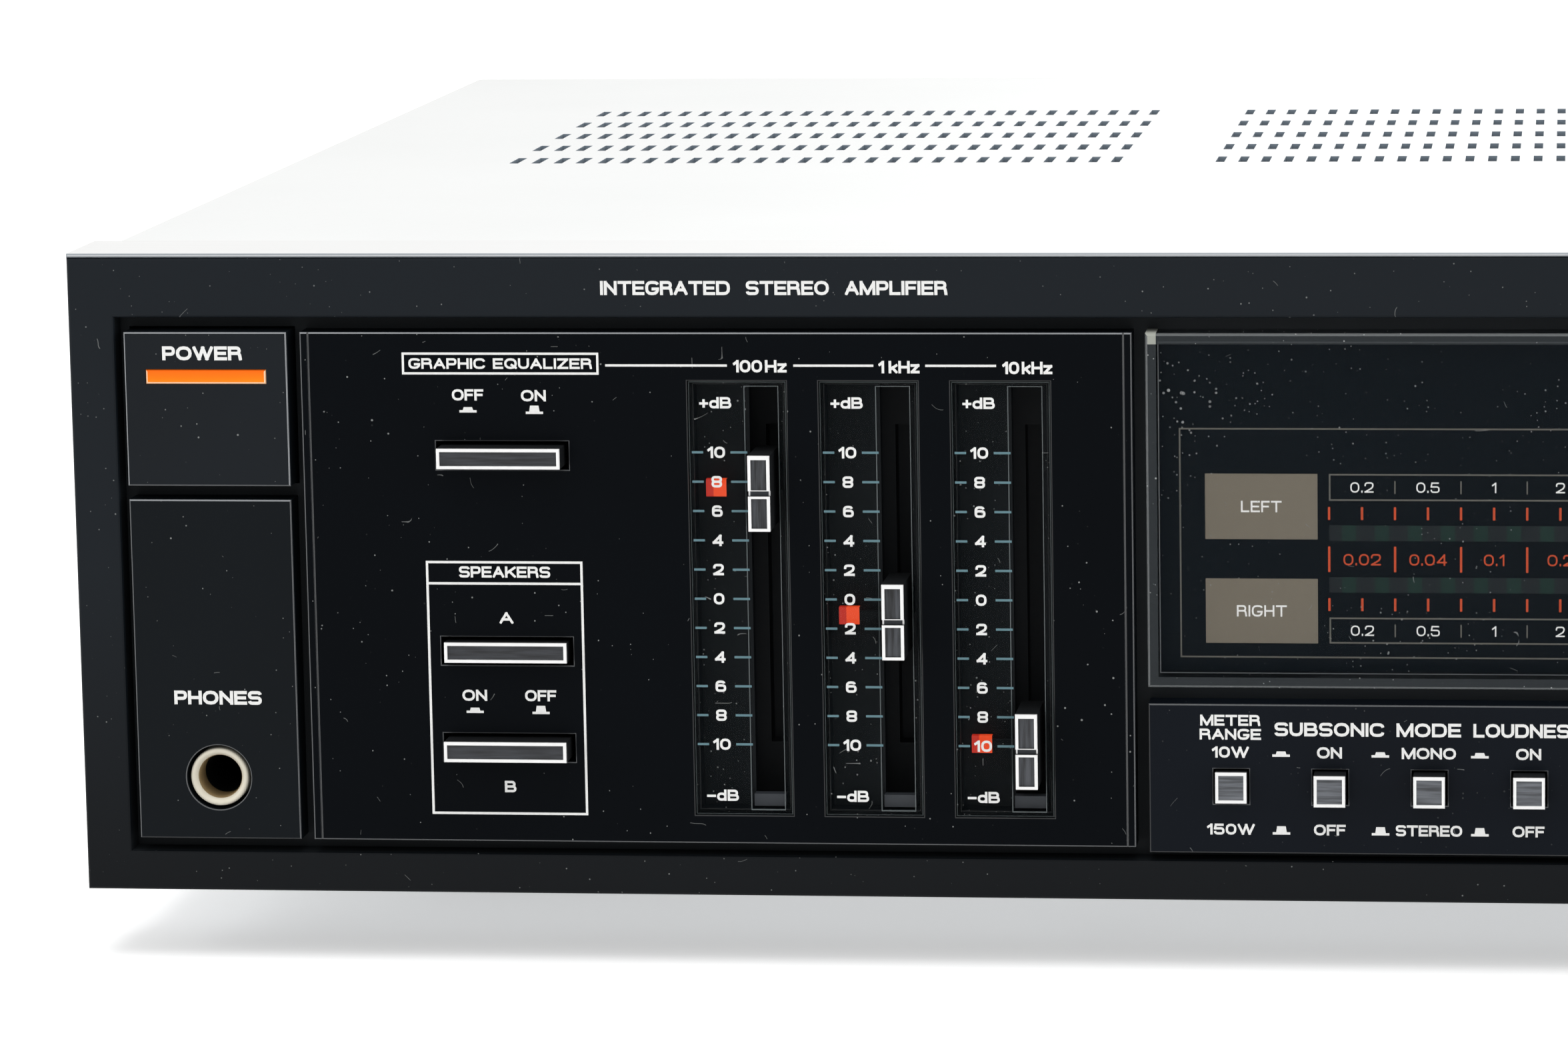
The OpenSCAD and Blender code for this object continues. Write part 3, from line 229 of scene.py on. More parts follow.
def settled_dust(tree, place, cell, patch, spot=None):
    """A mask of settled dust: specks of all sizes, thicker in some patches, and a few curled fibres."""
    cells = add(tree, "TexVoronoi", None, {"Vector": place, "Scale": 1 / (cell * MM)})
    lot = add(tree, "SeparateColor", None, {"Color": (cells, "Color")})
    thick = add(tree, "TexNoise", None, {"Vector": place, "Scale": 1 / (patch * MM), "Detail": 3.0})
    most = add(tree, "MapRange", None,
               {"Value": (thick, "Fac"), "From Min": 0.38, "From Max": 0.7, "To Min": 0.05, "To Max": 0.17})
    reach = add(tree, "Math", {"operation": "MULTIPLY"}, {0: (most, "Result"), 1: (lot, "Red")})
    if spot:
        # More dust round one spot, within 16 mm of it
        away = add(tree, "VectorMath", {"operation": "DISTANCE"}, {0: place, 1: spot})
        near = add(tree, "MapRange", None, {"Value": (away, "Value"), "From Min": 0.0, "From Max": 16 * MM,
                                            "To Min": 2.2, "To Max": 1.0})
        reach = add(tree, "Math", {"operation": "MULTIPLY"}, {0: (reach, "Value"), 1: (near, "Result")})
    speck = add(tree, "Math", {"operation": "LESS_THAN"}, {0: (cells, "Distance"), 1: (reach, "Value")})
    pale = add(tree, "Math", {"operation": "MULTIPLY"}, {0: (speck, "Value"), 1: (lot, "Green")})
    # A fibre is a short piece of a contour line, a tenth of a millimetre wide
    curl = add(tree, "TexNoise", None, {"Vector": place, "Scale": 1 / (4.5 * MM), "Detail": 0.0})
    line = add(tree, "Math", {"operation": "COMPARE"}, {0: (curl, "Fac"), 1: 0.5, 2: 0.004})
    gaps = add(tree, "TexNoise", None, {"Vector": place, "Scale": 1 / (3.0 * MM), "Detail": 0.0})
    here = add(tree, "Math", {"operation": "GREATER_THAN"}, {0: (gaps, "Fac"), 1: 0.79})
    short = add(tree, "Math", {"operation": "MULTIPLY"}, {0: (line, "Value"), 1: (here, "Value")})
    fibre = add(tree, "Math", {"operation": "MULTIPLY"}, {0: (short, "Value"), 1: 0.6})
    return add(tree, "Math", {"operation": "MAXIMUM"}, {0: (pale, "Value"), 1: (fibre, "Value")})


def moulded(name, colour, rough=0.42, grain=0.4, depth=0.012, dust=0.0, gloss=0.5, glow=0.0,
            climb=None):
    """Injection moulded plastic: an even colour with slow drift, fine spark eroded grain, some dust."""
    material, tree, shader, place = surface(name, IOR=1.52, Emission_Color=colour, Emission_Strength=glow)
    shader.inputs["Specular IOR Level"].default_value = gloss
    drift = add(tree, "TexNoise", None, {"Vector": place, "Scale": 1 / (22 * MM), "Detail": 3.0})
    tone = add(tree, "Mix", {"data_type": "RGBA"},
               {"Factor": (drift, "Fac"), 6: shade(colour, 0.82), 7: shade(colour, 1.2)})
    if climb:
        # A second colour that comes in between two heights
        low, high, other = climb
        split = add(tree, "SeparateXYZ", None, {"Vector": place})
        height = add(tree, "MapRange", None, {"Value": (split, "Z"), "From Min": low, "From Max": high})
        tone = add(tree, "Mix", {"data_type": "RGBA"},
                   {"Factor": (height, "Result"), 6: (tone, 2), 7: other})
    if dust:
        speck = settled_dust(tree, place, 1.2, 30)
        fade = add(tree, "Math", {"operation": "MULTIPLY"}, {0: (speck, "Value"), 1: dust})
        tone = add(tree, "Mix", {"data_type": "RGBA"},
                   {"Factor": (fade, "Value"), 6: (tone, 2), 7: linear("#b9bcba")})
    sheen = add(tree, "MapRange", None,
                {"Value": (drift, "Fac"), "To Min": rough - 0.07, "To Max": rough + 0.07})
    fine = add(tree, "TexNoise", None, {"Vector": place, "Scale": 1 / (grain * MM), "Detail": 2.0})
    bump = add(tree, "Bump", None, {"Height": (fine, "Fac"), "Strength": 0.25, "Distance": depth * MM})
    wire(tree, shader, tone, sheen, bump)
    return material


def painted(name, colour, rough=0.4, peel=1.6, depth=0.01, gloss=0.5):
    """Baked paint on sheet steel: a smooth skin with faint orange peel and slow change of tone."""
    material, tree, shader, place = surface(name)
    shader.inputs["Specular IOR Level"].default_value = gloss
    drift = add(tree, "TexNoise", None, {"Vector": place, "Scale": 1 / (60 * MM), "Detail": 2.0})
    tone = add(tree, "Mix", {"data_type": "RGBA"},
               {"Factor": (drift, "Fac"), 6: shade(colour, 0.965), 7: shade(colour, 1.03)})
    skin = add(tree, "TexNoise", None, {"Vector": place, "Scale": 1 / (peel * MM), "Detail": 1.0})
    sheen = add(tree, "MapRange", None,
                {"Value": (skin, "Fac"), "To Min": rough - 0.05, "To Max": rough + 0.05})
    bump = add(tree, "Bump", None, {"Height": (skin, "Fac"), "Strength": 0.2, "Distance": depth * MM})
    wire(tree, shader, tone, sheen, bump)
    return material


def brushed(name, colour, rough=0.3, run=(40.0, 0.25, 0.25), contrast=0.08, metallic=1.0):
    """Brushed metal: streaks that run along one axis, each with its own tone and gloss."""
    material, tree, shader, place = surface(name, Metallic=metallic)
    stretch = add(tree, "Mapping", None,
                  {"Vector": place, "Scale": tuple(1 / (r * MM) for r in run)})
    streak = add(tree, "TexNoise", None, {"Vector": (stretch, "Vector"), "Scale": 1.0, "Detail": 3.0})
    spread = add(tree, "MapRange", None, {"Value": (streak, "Fac"), "From Min": 0.3, "From Max": 0.7})
    tone = add(tree, "Mix", {"data_type": "RGBA"},
               {"Factor": (spread, "Result"), 6: shade(colour, 1 - contrast),
                7: shade(colour, 1 + contrast)})
    sheen = add(tree, "MapRange", None,
                {"Value": (streak, "Fac"), "To Min": rough - 0.1, "To Max": rough + 0.1})
    bump = add(tree, "Bump", None, {"Height": (streak, "Fac"), "Strength": 0.15, "Distance": 0.01 * MM})
    wire(tree, shader, tone, sheen, bump)
    return material


def turned(name, colour, centre, spacing=0.5, rough=0.26):
    """Turned and anodised aluminium: fine rings round the axis that catch the light as a fan."""
    material, tree, shader, place = surface(name, Metallic=1.0)
    shift = add(tree, "Mapping", None,
                {"Vector": place, "Location": tuple(-c for c in centre)})
    # Real tool marks are 0.05 mm apart; they are drawn ten times as coarse so that they show
    rings = add(tree, "TexWave", {"wave_type": "RINGS", "rings_direction": "Y"},
                {"Vector": (shift, "Vector"), "Scale": 2 * math.pi / (20 * spacing * MM), "Distortion": 0.4})
    tone = add(tree, "Mix", {"data_type": "RGBA"},
               {"Factor": (rings, "Fac"), 6: shade(colour, 0.88), 7: shade(colour, 1.08)})
    sheen = add(tree, "MapRange", None,
                {"Value": (rings, "Fac"), "To Min": rough - 0.08, "To Max": rough + 0.08})
    bump = add(tree, "Bump", None, {"Height": (rings, "Fac"), "Strength": 0.2, "Distance": 0.01 * MM})
    wire(tree, shader, tone, sheen, bump)
    return material


def clear(name, colour, alpha, rough=0.06, gloss=0.5, spot=None):
    """Cast acrylic: see-through and glossy, with dust and faint smears that break the gloss."""
    material, tree, shader, place = surface(name, IOR=1.49)
    shader.inputs["Specular IOR Level"].default_value = gloss
    smear = add(tree, "TexNoise", None, {"Vector": place, "Scale": 1 / (14 * MM), "Detail": 4.0})
    sheen = add(tree, "MapRange", None, {"Value": (smear, "Fac"), "To Min": rough, "To Max": rough + 0.12})
    speck = settled_dust(tree, place, 1.0, 14, spot)
    tone = add(tree, "Mix", {"data_type": "RGBA"},
               {"Factor": (speck, "Value"), 6: colour, 7: linear("#d4d6d4")})
    cover = add(tree, "MapRange", None,
                {"Value": (speck, "Value"), "To Min": alpha, "To Max": max(alpha, 0.8)})
    wire(tree, shader, tone, sheen)
    tree.links.new(cover.outputs["Result"], shader.inputs["Alpha"])
    return material


def ink(name, colour, rough=0.55, gloss=0.5, glow=0.0):
    """Screen printed ink: flat and dense, a little thinner in places."""
    material, tree, shader, place = surface(name)
    if glow:
        shader.inputs["Emission Color"].default_value = (*colour[:3], 1.0)
        shader.inputs["Emission Strength"].default_value = glow
    shader.inputs["Specular IOR Level"].default_value = gloss
    body = add(tree, "TexNoise", None, {"Vector": place, "Scale": 1 / (0.6 * MM), "Detail": 2.0})
    tone = add(tree, "Mix", {"data_type": "RGBA"},
               {"Factor": (body, "Fac"), 6: shade(colour, 0.9), 7: shade(colour, 1.06)})
    sheen = add(tree, "MapRange", None,
                {"Value": (body, "Fac"), "To Min": rough - 0.1, "To Max": rough + 0.1})
    wire(tree, shader, tone, sheen)
    return material


def banded(name, dark, light, axis, spacing, rough=0.5, metallic=0.0):
    """Stacked sheets or laid turns: even bands along one axis, each a little apart in tone."""
    material, tree, shader, place = surface(name, Metallic=metallic)
    bands = add(tree, "TexWave", {"wave_type": "BANDS", "bands_direction": axis},
                {"Vector": place, "Scale": 2 * math.pi / (20 * spacing * MM), "Distortion": 0.6})
    tone = add(tree, "Mix", {"data_type": "RGBA"}, {"Factor": (bands, "Fac"), 6: dark, 7: light})
    sheen = add(tree, "MapRange", None,
                {"Value": (bands, "Fac"), "To Min": rough - 0.1, "To Max": rough + 0.1})
    bump = add(tree, "Bump", None, {"Height": (bands, "Fac"), "Strength": 0.5, "Distance": 0.1 * MM})
    wire(tree, shader, tone, sheen, bump)
    return material


def finish(name):
    """The named finish, made when it is first asked for."""
    if name in bpy.data.materials:
        return bpy.data.materials[name]
    c = bpy.context.scene.amplifier_colours
    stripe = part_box("power_stripe")
    makers = {
        # Satin black ABS of the front moulding: a soft sheen, dust that shows on black, and painted shade
        # that darkens it towards its foot
        "moulded_abs_black": lambda n: moulded(n, linear("#0b0e11"), rough=0.45, dust=0.6, gloss=0.1,
                                               climb=(12 * MM, 60 * MM, c.moulding)),
        # The recess behind the panels, not polished, and a little greyer as painted light against its shade
        "moulded_abs_recess_painted_light": lambda n: moulded(n, linear("#14181b"), rough=0.6, gloss=0.15),
        # Grey ABS of the slots' stops and the sliders' grooves, just lighter than the dark round it; on the
        # stops the grey is lifted as painted light against the slots' shade
        "moulded_abs_grey": lambda n: moulded(n, linear("#3c4045"), rough=0.5, gloss=0.3),
        # Smoother black ABS of the panels, a little deeper and glossier
        "moulded_abs_panel": lambda n: moulded(n, c.panel, rough=0.36, grain=0.3, dust=0.5, gloss=0.03),
        # The same plastic on the power button, worn paler by hands
        "moulded_abs_worn": lambda n: moulded(n, c.worn, rough=0.42, grain=0.3, dust=0.5, gloss=0.12),
        # The same plastic round the jack, less worn
        "moulded_abs_phones": lambda n: moulded(n, linear("#0b1014"), rough=0.42, grain=0.3, dust=0.5,
                                                gloss=0.08),
        # Blue black ABS of the button strip
        "moulded_abs_strip": lambda n: moulded(n, c.strip, rough=0.4, grain=0.3, dust=0.5, gloss=0.07),
        # Polished edge of a black panel, painted light grey: a painted highlight that draws a thin light
        # line along it
        "abs_edge_painted_highlight": lambda n: moulded(n, c.edge, rough=0.26, grain=0.6, depth=0.004, gloss=0.8),
        # The same painted highlight on edges turned from the light, a dimmer line
        "abs_edge_painted_highlight_dim": lambda n: moulded(n, shade(c.edge, 0.38), rough=0.3, grain=0.6, depth=0.004,
                                                   gloss=0.5),
        # The same painted highlight at the foot or in an opening, hardly a line any more
        "abs_edge_painted_highlight_faint": lambda n: moulded(n, shade(c.edge, 0.12), rough=0.34, grain=0.6,
                                                     depth=0.004, gloss=0.3),
        # Plain black ABS of sliders, levers and sockets: dark, with an even soft shine
        "moulded_abs_plain": lambda n: moulded(n, linear("#111315"), rough=0.4, grain=0.3),
        # Red ABS of levers and sockets, clean and a little glossy
        "moulded_abs_red": lambda n: moulded(n, linear("#b01c18"), rough=0.34, grain=0.3),
        # White ABS of the other sockets, slightly creamy
        "moulded_abs_white": lambda n: moulded(n, linear("#dcdad2"), rough=0.4, grain=0.3),
        # Orange ABS strip let into the power button, redder towards its top, with a faint glow that is
        # painted light
        "moulded_abs_orange": lambda n: moulded(n, c.stripe, rough=0.3, grain=0.5, gloss=0.1, glow=0.1,
                                                climb=(stripe[0].z, stripe[1].z, c.stripe_top)),
        # The strip's thin edge, pale and glowing: a painted highlight along its sides and foot
        "moulded_abs_orange_painted_highlight": lambda n: moulded(n, linear("#ffc59c"), rough=0.3, grain=0.5, glow=0.25),
        # Red acrylic of the slider flags, with a glow that is painted light, so brighter than the light that
        # falls
        # on it: the third darker as painted shade of the scale's edge, then the rest
        "acrylic_red_painted_shade": lambda n: moulded(n, c.flag_dark, rough=0.25, grain=0.8, depth=0.004, glow=0.65),
        "acrylic_red_light": lambda n: moulded(n, c.flag_light, rough=0.25, grain=0.8, depth=0.004,
                                               glow=0.85),
        # Ivory nylon of the headphone jack, slightly waxy
        "moulded_nylon_ivory": lambda n: moulded(n, c.ivory, rough=0.38, grain=0.5),
        # The same nylon inside the bore, painted brown as shade
        "moulded_nylon_bore_painted_shade": lambda n: moulded(n, linear("#8f7a56"), rough=0.45, grain=0.5),
        # Grey nylon of the switch bodies, dull
        "moulded_nylon_grey": lambda n: moulded(n, linear("#4a4d50"), rough=0.5, grain=0.5),
        # Moulded epoxy of the power modules: matt and stony
        "moulded_epoxy": lambda n: moulded(n, linear("#17181a"), rough=0.6, grain=0.3, depth=0.03),
        # Black rubber of the feet, matt with moulded grain
        "moulded_rubber": lambda n: moulded(n, linear("#1b1c1e"), rough=0.75, grain=0.5, depth=0.05,
                                            gloss=0.3),
        # Pale baked enamel of the cover, nearly white with a soft sheen
        "baked_enamel_pale": lambda n: painted(n, c.cover, rough=0.42),
        # Matt black enamel of the rear panel
        "baked_enamel_black": lambda n: painted(n, linear("#1e2022"), rough=0.55, peel=0.9, depth=0.02),
        # Dull black of the subframe behind the slots and of the slide pots: painted shade that keeps the
        # slots dark
        "steel_black_painted_shade": lambda n: painted(n, linear("#1b1e21"), rough=0.7, peel=0.9, depth=0.02,
                                                gloss=0.3),
        # Zinc plated steel of the chassis: cool grey with soft cloudy patches
        "zinc_plated_steel": lambda n: brushed(n, linear("#a9adb0"), rough=0.42, run=(9.0, 9.0, 9.0)),
        # Clear anodised aluminium strip on top of the moulding, brushed along its length
        "anodised_aluminium_trim": lambda n: brushed(n, linear("#e5e5e4"), rough=0.45, run=(60.0, 0.4, 0.4),
                                                     contrast=0.03, metallic=0.15),
        # The strip's rolled front edge, a darker grey copy of the trim: painted shade that draws a grey line
        # under the pale top
        "anodised_aluminium_edge_painted_shade": lambda n: brushed(n, linear("#949a9f"), rough=0.4, run=(60.0, 0.4, 0.4),
                                                     contrast=0.06, metallic=0.3),
        # Hot stamped foil on the rims of the caps, a bright silvery white line
        "bright_foil_rim": lambda n: brushed(n, c.rim, rough=0.34, run=(3.0, 3.0, 3.0), contrast=0.03,
                                             metallic=0.1),
        # Brushed foil in the centres of the caps, dark and streaked along the cap
        "brushed_foil_slim": lambda n: brushed(n, c.cap_slim, rough=0.42, run=(5.0, 0.5, 0.34), contrast=0.6,
                                               metallic=0.3),
        "brushed_foil_square": lambda n: brushed(n, c.cap_square, rough=0.42, run=(7.0, 0.5, 0.34),
                                                 contrast=0.6, metallic=0.3),
        "brushed_foil_slider": lambda n: brushed(n, c.cap_slider, rough=0.42, run=(0.5, 0.5, 7.0),
                                                 contrast=0.85, metallic=0.3),
        # Bare steel where the slots were punched, darker than the paint, and painted shade that makes the
        # slots look dark
        "punched_steel_edge_and_shade": lambda n: brushed(n, linear("#8c99a5"), rough=0.6, run=(1.0, 1.0, 0.3),
                                                metallic=0.0),
        # Turned steel of shafts and screws: bright, with marks round the axis
        "turned_steel": lambda n: brushed(n, linear("#b4b6b8"), rough=0.28, run=(0.3, 6.0, 0.3)),
        # Black oxide screws: dark steel with a dry sheen
        "black_oxide_steel": lambda n: brushed(n, linear("#3c3e41"), rough=0.4, run=(1.2, 1.2, 1.2)),
        # Nickel plated brass of the phono sleeves: warm and nearly a mirror
        "nickel_plate": lambda n: brushed(n, linear("#cfcdc6"), rough=0.2, run=(4.0, 0.3, 4.0),
                                          contrast=0.06),
        # Gold flashed contacts in the sockets, a yellow glint
        "gold_contact": lambda n: brushed(n, linear("#c9a653"), rough=0.25, run=(1.0, 1.0, 1.0)),
        # Black anodised aluminium of the heat sink, drawn upright, with a dull sheen
        "black_anodised_aluminium": lambda n: brushed(n, linear("#26282a"), rough=0.45,
                                                      run=(0.4, 0.4, 20.0)),
        # Cast acrylic of the meter window: a clear face with dust, thickest near one corner
        "cast_acrylic_clear": lambda n: clear(n, linear("#1c242b"), 0.08, gloss=0.05,
                                              spot=on_front(-52.5, 88.5, -1.4)),
        # Its edges and inner corners, grey: painted highlights for the light that the acrylic pipes along
        # them
        "cast_acrylic_edge_painted_highlight": lambda n: clear(n, linear("#7c8081"), 0.6, rough=0.15),
        "cast_acrylic_corner_painted_highlight": lambda n: clear(n, linear("#8f9295"), 0.9, rough=0.2),
        # Its walls seen end on, dark as painted shade, and the rough pale mark of its gate
        "cast_acrylic_wall_painted_shade": lambda n: clear(n, linear("#2c3134"), 0.85, rough=0.15, gloss=0.14),
        "cast_acrylic_gate": lambda n: moulded(n, linear("#a2a59c"), rough=0.7, grain=0.3, depth=0.03),
        # Smoked acrylic of the slider scales, and its paler cut edges, partly a painted highlight
        "cast_acrylic_smoked": lambda n: clear(n, linear("#0d1215"), 0.22, gloss=0.05),
        "cast_acrylic_smoked_edge": lambda n: clear(n, linear("#6d7576"), 0.75, rough=0.2),
        # Black print over the whole meter scale, deep and a little blue
        "printed_black": lambda n: ink(n, linear("#0a1015"), rough=0.4, gloss=0.06),
        # White screen ink of the legends: flat and dense
        "screen_ink_white": lambda n: ink(n, c.white_ink),
        # White ink behind the window, with a glow that is painted light, as bright through the acrylic as in
        # front of it
        "screen_ink_backed_painted_light": lambda n: ink(n, c.white_ink, glow=0.16),
        # Screen inks of the scales: grey blue ticks, taupe boxes, grey lines, orange marks
        "screen_ink_tick": lambda n: ink(n, c.tick_ink),
        "screen_ink_taupe": lambda n: ink(n, c.taupe_ink),
        "screen_ink_line": lambda n: ink(n, linear("#6c6a62")),
        "screen_ink_orange": lambda n: ink(n, c.orange_ink),
        # Unlit lamps of the meters, and the dark band that they lie on
        "screen_ink_green": lambda n: ink(n, c.green_ink, rough=0.45, gloss=0.15),
        "screen_ink_dim": lambda n: ink(n, linear("#1d2225"), rough=0.45, gloss=0.15),
        # Varnished laminations of the transformer, half a millimetre each, drawn twice as coarse
        "laminated_iron": lambda n: banded(n, linear("#2c2d30"), linear("#4a4c50"), "Y", 1.0, metallic=0.6),
        # Taped copper winding, turns drawn 1.2 mm apart
        "copper_winding": lambda n: banded(n, linear("#6b3417"), linear("#b5632f"), "Z", 1.2, metallic=0.4),
        # Paper laminate boards, faint layers of resin
        "paper_laminate": lambda n: banded(n, linear("#84602a"), linear("#97733a"), "X", 3.0, rough=0.45),
        # Blue shrink sleeve of the capacitors: glossy and slightly wavy
        "shrink_sleeve_blue": lambda n: moulded(n, linear("#22407c"), rough=0.3, grain=2.0, depth=0.05),
    }
    return makers[name](name)


def merged_copy(node):
    """A copy of a CAD node's mesh, with its loose triangles joined into plain faces."""
    bm = bmesh.new()
    bm.from_mesh(frame["nodes"][node].data)
    bmesh.ops.remove_doubles(bm, verts=bm.verts, dist=TINY)
    bmesh.ops.dissolve_limit(bm, angle_limit=math.radians(0.5), verts=bm.verts, edges=bm.edges)
    return bm


def slice_at(bm, spot, way, **options):
    """Cuts a whole shape along a plane."""
    return bmesh.ops.bisect_plane(bm, geom=bm.verts[:] + bm.edges[:] + bm.faces[:], plane_co=spot,
                                  plane_no=way, **options)


def only(geom, kind):
    """The vertices, the edges or the faces of what an operator gives back."""
    return [g for g in geom if isinstance(g, kind)]


def set_finish(faces, number):
    """Gives faces one of their piece's finishes."""
    for f in faces:
        f.material_index = number


def sharp_edges(bm, test):
    """The edges of a shape that turn by more than 40 degrees and pass the test."""
    return [e for e in bm.edges
            if len(e.link_faces) == 2 and e.calc_face_angle() > math.radians(40) and test(e)]


def ahead(y):
    """A test for edges that lie in front of a plane."""
    return lambda e: all(v.co.y < y for v in e.verts)


def round_edges(bm, edges, width, segments=2):
    """Bevels the edges and returns the new faces."""
    made = bmesh.ops.bevel(bm, geom=edges, offset=width, offset_type="OFFSET", segments=segments,
                           profile=0.5, affect="EDGES", clamp_overlap=False, material=-1)
    return made["faces"]


def outer_edges(bm, low, high):
    """The front edges along the outline of a panel."""
    limits = ((0, low.x), (0, high.x), (2, low.z), (2, high.z))
    front = sharp_edges(bm, ahead(low.y + SKIN))
    return [e for e in front if any(all(abs(v.co[k] - at) < SAME for v in e.verts) for k, at in limits)]


def light_edges(faces, top, side, foot):
    """Gives bevel faces the painted edge highlights along the top, the sides and the foot, lighter or darker
    by how the light falls on them.
    """
    for f in faces:
        f.material_index = top if f.normal.z > 0.3 else foot if f.normal.z < -0.3 else side


def block(bm, low, high, material=0):
    """A box between two corners."""
    low = Vector(low)
    high = Vector(high)
    matrix = Matrix.Translation((low + high) / 2) @ Matrix.Diagonal((*(high - low), 1.0))
    made = bmesh.ops.create_cube(bm, size=1.0, matrix=matrix)
    set_finish({f for v in made["verts"] for f in v.link_faces}, material)
    return made["verts"]


def spun(bm, profile, centre, steps=48, material=0, axis=(0.0, 1.0, 0.0)):
    """A turned shape: points of (radius, distance along the axis) in millimetres, spun round a centre."""
    axis = Vector(axis)
    across = axis.orthogonal().normalized()
    first = [bm.verts.new(Vector(centre) + across * (r * MM) + axis * (d * MM)) for r, d in profile]
    edges = [bm.edges.new(pair) for pair in zip(first, first[1:])]
    old = set(bm.faces)
    bmesh.ops.spin(bm, geom=first + edges, cent=centre, axis=axis, angle=2 * math.pi, steps=steps,
                   use_merge=True, use_duplicate=False)
    faces = [f for f in bm.faces if f not in old]
    verts = list({v for f in faces for v in f.verts})
    bmesh.ops.remove_doubles(bm, verts=verts, dist=WELD)
    faces = [f for f in bm.faces if f not in old]
    bmesh.ops.recalc_face_normals(bm, faces=faces)
    set_finish(faces, material)
    return faces


# The wide lettering: each letter's width, then its pen strokes. A stroke has the radius of its corners,
# after an @ if it is closed, and its points, each as x and y in base 36, on a grid that is 12 high
PEN_GRID = 12
PEN_GAP = 4.3
PEN = {
    "A": (12, "0:006c 0:6cc0 0:2494"), "B": (11, "0:000c 3:0caca606 3:06b6b000"),
    "C": (12, "5:c9cc0c00c0c3"), "D": (12, "0:000c 5:0cccc000"), "E": (10, "0:000c 0:0cac 0:0696 0:00a0"),
    "F": (9, "0:000c 0:0c9c 0:0686"), "G": (12, "5:cacc0c00c0c5 0:75c5"),
    "H": (11, "0:000c 0:b0bc 0:06b6"), "I": (0, "0:000c"), "K": (11, "0:000c 0:04bc 0:47b0"),
    "L": (9, "0:000c 0:0090"),
    "M": (14, "0:000c 0:0c70 0:70ec 0:ece0"), "N": (11, "0:000c 0:0cb0 0:b0bc"), "O": (13, "@6:00d0dc0c"),
    "P": (10, "0:000c 3:0caca505"), "Q": (13, "@6:00d0dc0c 0:84d0"),
    "R": (11, "0:000c 3:0caca606 2:56a6b0"), "S": (11, "3:babc0c06b6b00002"), "T": (12, "0:0ccc 0:606c"),
    "U": (11, "5:0c00b0bc"), "V": (12, "0:0c60 0:60cc"), "W": (18, "0:0c50 0:509c 0:9cd0 0:d0ic"),
    "X": (11, "0:00bc 0:0cb0"), "Z": (11, "0:0cbc 0:bc00 0:00b0"), "d": (9, "@4:00909808 0:909c"),
    "k": (8, "0:000c 0:0388 0:3580"), "z": (8, "0:0888 0:8800 0:0080"), "0": (10, "@5:00a0ac0c"),
    "1": (4, "0:404c 0:4c09"), "2": (10, "3:080caca600 0:00a0"), "3": (10, "3:090caca646 3:46a6a00003"),
    "4": (10, "0:808c 0:8c03 0:03a3"), "5": (10, "0:1c9c 0:1c07 3:07a7a00003"),
    "6": (10, "@3:00a0a707 4:9a9c0c04"), "7": (10, "0:0cac 0:ac30"),
    "8": (10, "@3:06a6ac0c @3:00a0a606"), "9": (10, "@3:05a5ac0c 4:1210a0a8"),
    ".": (0, "0:0001"), "+": (8, "0:0585 0:4149"), "−": (8, "0:0585"), " ": (4, ""), "_": (-2, ""),
}


def pen_points(code):
    """The points of one pen stroke, its corners rounded."""
    head, body = code.split(":")
    closed = head.startswith("@")
    radius = int(head.strip("@"))
    corners = [Vector((int(body[i], 36), int(body[i + 1], 36), 0)) for i in range(0, len(body), 2)]
    if not radius:
        return corners, False, 0.5
    points = []
    for i, corner in enumerate(corners):
        if not closed and i in (0, len(corners) - 1):
            points.append(corner)
            continue
        back = corners[i - 1] - corner
        on = corners[(i + 1) % len(corners)] - corner
        first = not closed and i == 1
        last = not closed and i == len(corners) - 2
        start = corner + back.normalized() * min(radius, back.length * (1.0 if first else 0.5))
        end = corner + on.normalized() * min(radius, on.length * (1.0 if last else 0.5))
        points += [start.lerp(corner, t).lerp(corner.lerp(end, t), t) for t in (0.0, 0.3, 0.7, 1.0)]
    if closed:
        points.append(points[0])
    return points, closed, 0.15


